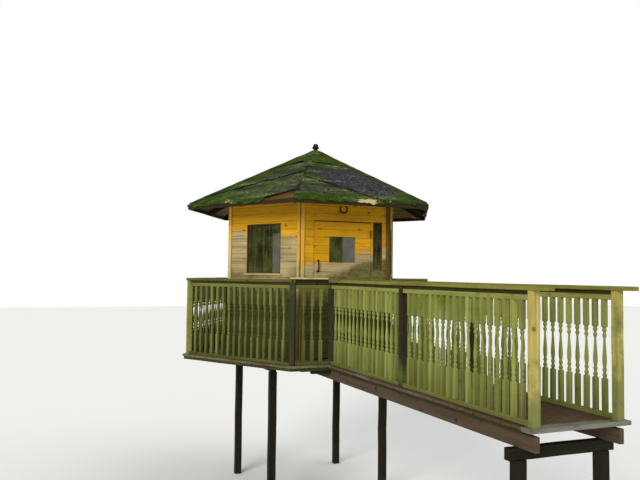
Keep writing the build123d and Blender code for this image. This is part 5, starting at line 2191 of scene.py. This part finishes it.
@dataclass
class Studio:
    """Pale floor, soft light and the camera at the photograph's angle."""

    eye: tuple[float, float, float] = (-4.047, -7.987, 3.270)
    yaw: float = math.radians(-22.434)
    pitch: float = math.radians(2.873)
    roll: float = math.radians(0.642)
    lens: float = 38.69
    size: float = 60.0
    ground: Colour = srgb(248, 247, 244)
    sky: Colour = (0.96, 0.98, 1.0, 1.0)
    white: Colour = (1.0, 1.0, 1.0, 1.0)
    soft: float = 0.50

    def build(self) -> None:
        """Build the set."""
        self.camera()
        self.floor()
        self.lights()

    def camera(self) -> None:
        """Place the camera from its heading, pitch and roll."""
        level = np.array((math.cos(self.yaw), math.sin(self.yaw), 0.0))
        ahead = np.array((-level[1], level[0], 0.0))
        forward = ahead * math.cos(self.pitch) + np.array((0.0, 0.0, math.sin(self.pitch)))
        above = np.cross(level, forward)
        right = level * math.cos(self.roll) + above * math.sin(self.roll)
        up = above * math.cos(self.roll) - level * math.sin(self.roll)
        data = bpy.data.cameras.new("view")
        data.lens = self.lens
        data.sensor_width = 36.0
        data.sensor_fit = "HORIZONTAL"
        view = bpy.data.objects.new("view", data)
        matrix = np.eye(4)
        matrix[:3, :3] = np.stack((right, up, -forward), axis=1)
        matrix[:3, 3] = self.eye
        view.matrix_world = Matrix(matrix.tolist())
        bpy.context.scene.collection.objects.link(view)
        bpy.context.scene.camera = view

    def floor(self) -> None:
        """Level pale floor at the feet."""
        mesh = bpy.data.meshes.new("studio_floor")
        corners = [(x * self.size, y * self.size, 0.0) for x, y in ((-1, -1), (1, -1), (1, 1), (-1, 1))]
        mesh.from_pydata(corners, [], [(0, 1, 2, 3)])
        ground = bpy.data.objects.new("studio_floor", mesh)
        bpy.context.scene.collection.objects.link(ground)
        paint = Paint(bpy.data.materials.new("studio_ground"))
        speckle = paint.noise(paint.place(), 3.0, 3.0)
        mesh.materials.append(paint.surface(self.ground, speckle * 0.1 + 0.85))

    def lights(self) -> None:
        """Pale surroundings and two large soft lamps."""
        world = bpy.data.worlds.new("studio")
        bpy.context.scene.world = world
        paint = Paint(world)
        seen = paint.node("ShaderNodeLightPath").outputs["Is Camera Ray"]
        soft = paint.node("ShaderNodeBackground", None, {"Color": self.sky, "Strength": self.soft})
        white = paint.node("ShaderNodeBackground", None, {"Color": self.white, "Strength": 1.0})
        mixed = paint.node("ShaderNodeMixShader", None, {0: seen, 1: soft.outputs[0], 2: white.outputs[0]})
        paint.node("ShaderNodeOutputWorld", None, {0: mixed.outputs[0]})
        self.sun("key", (0.68, 0.62, -0.36), 2.3, 26.0, (1.0, 0.97, 0.90))
        self.sun("fill", (-0.45, 0.35, -0.80), 0.8, 50.0, (0.94, 0.97, 1.0))

    def sun(self, name: str, way: Point, strength: float, spread: float, colour: Point) -> None:
        """A broad far lamp.

        Args:
            name: Name of the lamp.
            way: Direction in which its light travels.
            strength: Strength.
            spread: Width of the lamp as seen, in degrees.
            colour: Colour of its light.
        """
        data = bpy.data.lights.new(name, "SUN")
        data.energy = strength
        data.angle = math.radians(spread)
        data.color = colour
        lamp = bpy.data.objects.new(name, data)
        lamp.rotation_euler = Vector(way).to_track_quat("-Z", "Y").to_euler()
        bpy.context.scene.collection.objects.link(lamp)


def dress(finish: Finish, *nodes: str) -> None:
    """Give nodes of the frame a finish.

    Args:
        finish: Finish that dresses them.
        nodes: Names of the nodes.
    """
    for node in nodes:
        materials = frame["nodes"][node].data.materials
        materials.clear()
        materials.append(finish.material())


def main() -> None:
    """Build the sub-assemblies in order."""
    logging.basicConfig(level=logging.INFO, format="%(message)s")
    bpy.context.scene.view_settings.view_transform = "Standard"
    Studio().build()
    Substructure().build()
    Bridge().build()
    Floors().build()
    Balustrade().build()
    cabin = Cabin()
    cabin.build()
    Door().build(cabin)
    Roof().build()
    Horseshoe().build()
    dress(CORNER, "cabin_corner_posts")
    dress(FASCIA, "roof_boss")
    dress(BROWN, "door_stops")
    dress(GLASS, "window_glass", "door_glass")
    dress(BLACK_IRON, "hinge_jamb_halves", "hinge_door_halves")
    bpy.context.view_layer.update()


if __name__ == "__main__":
    main()
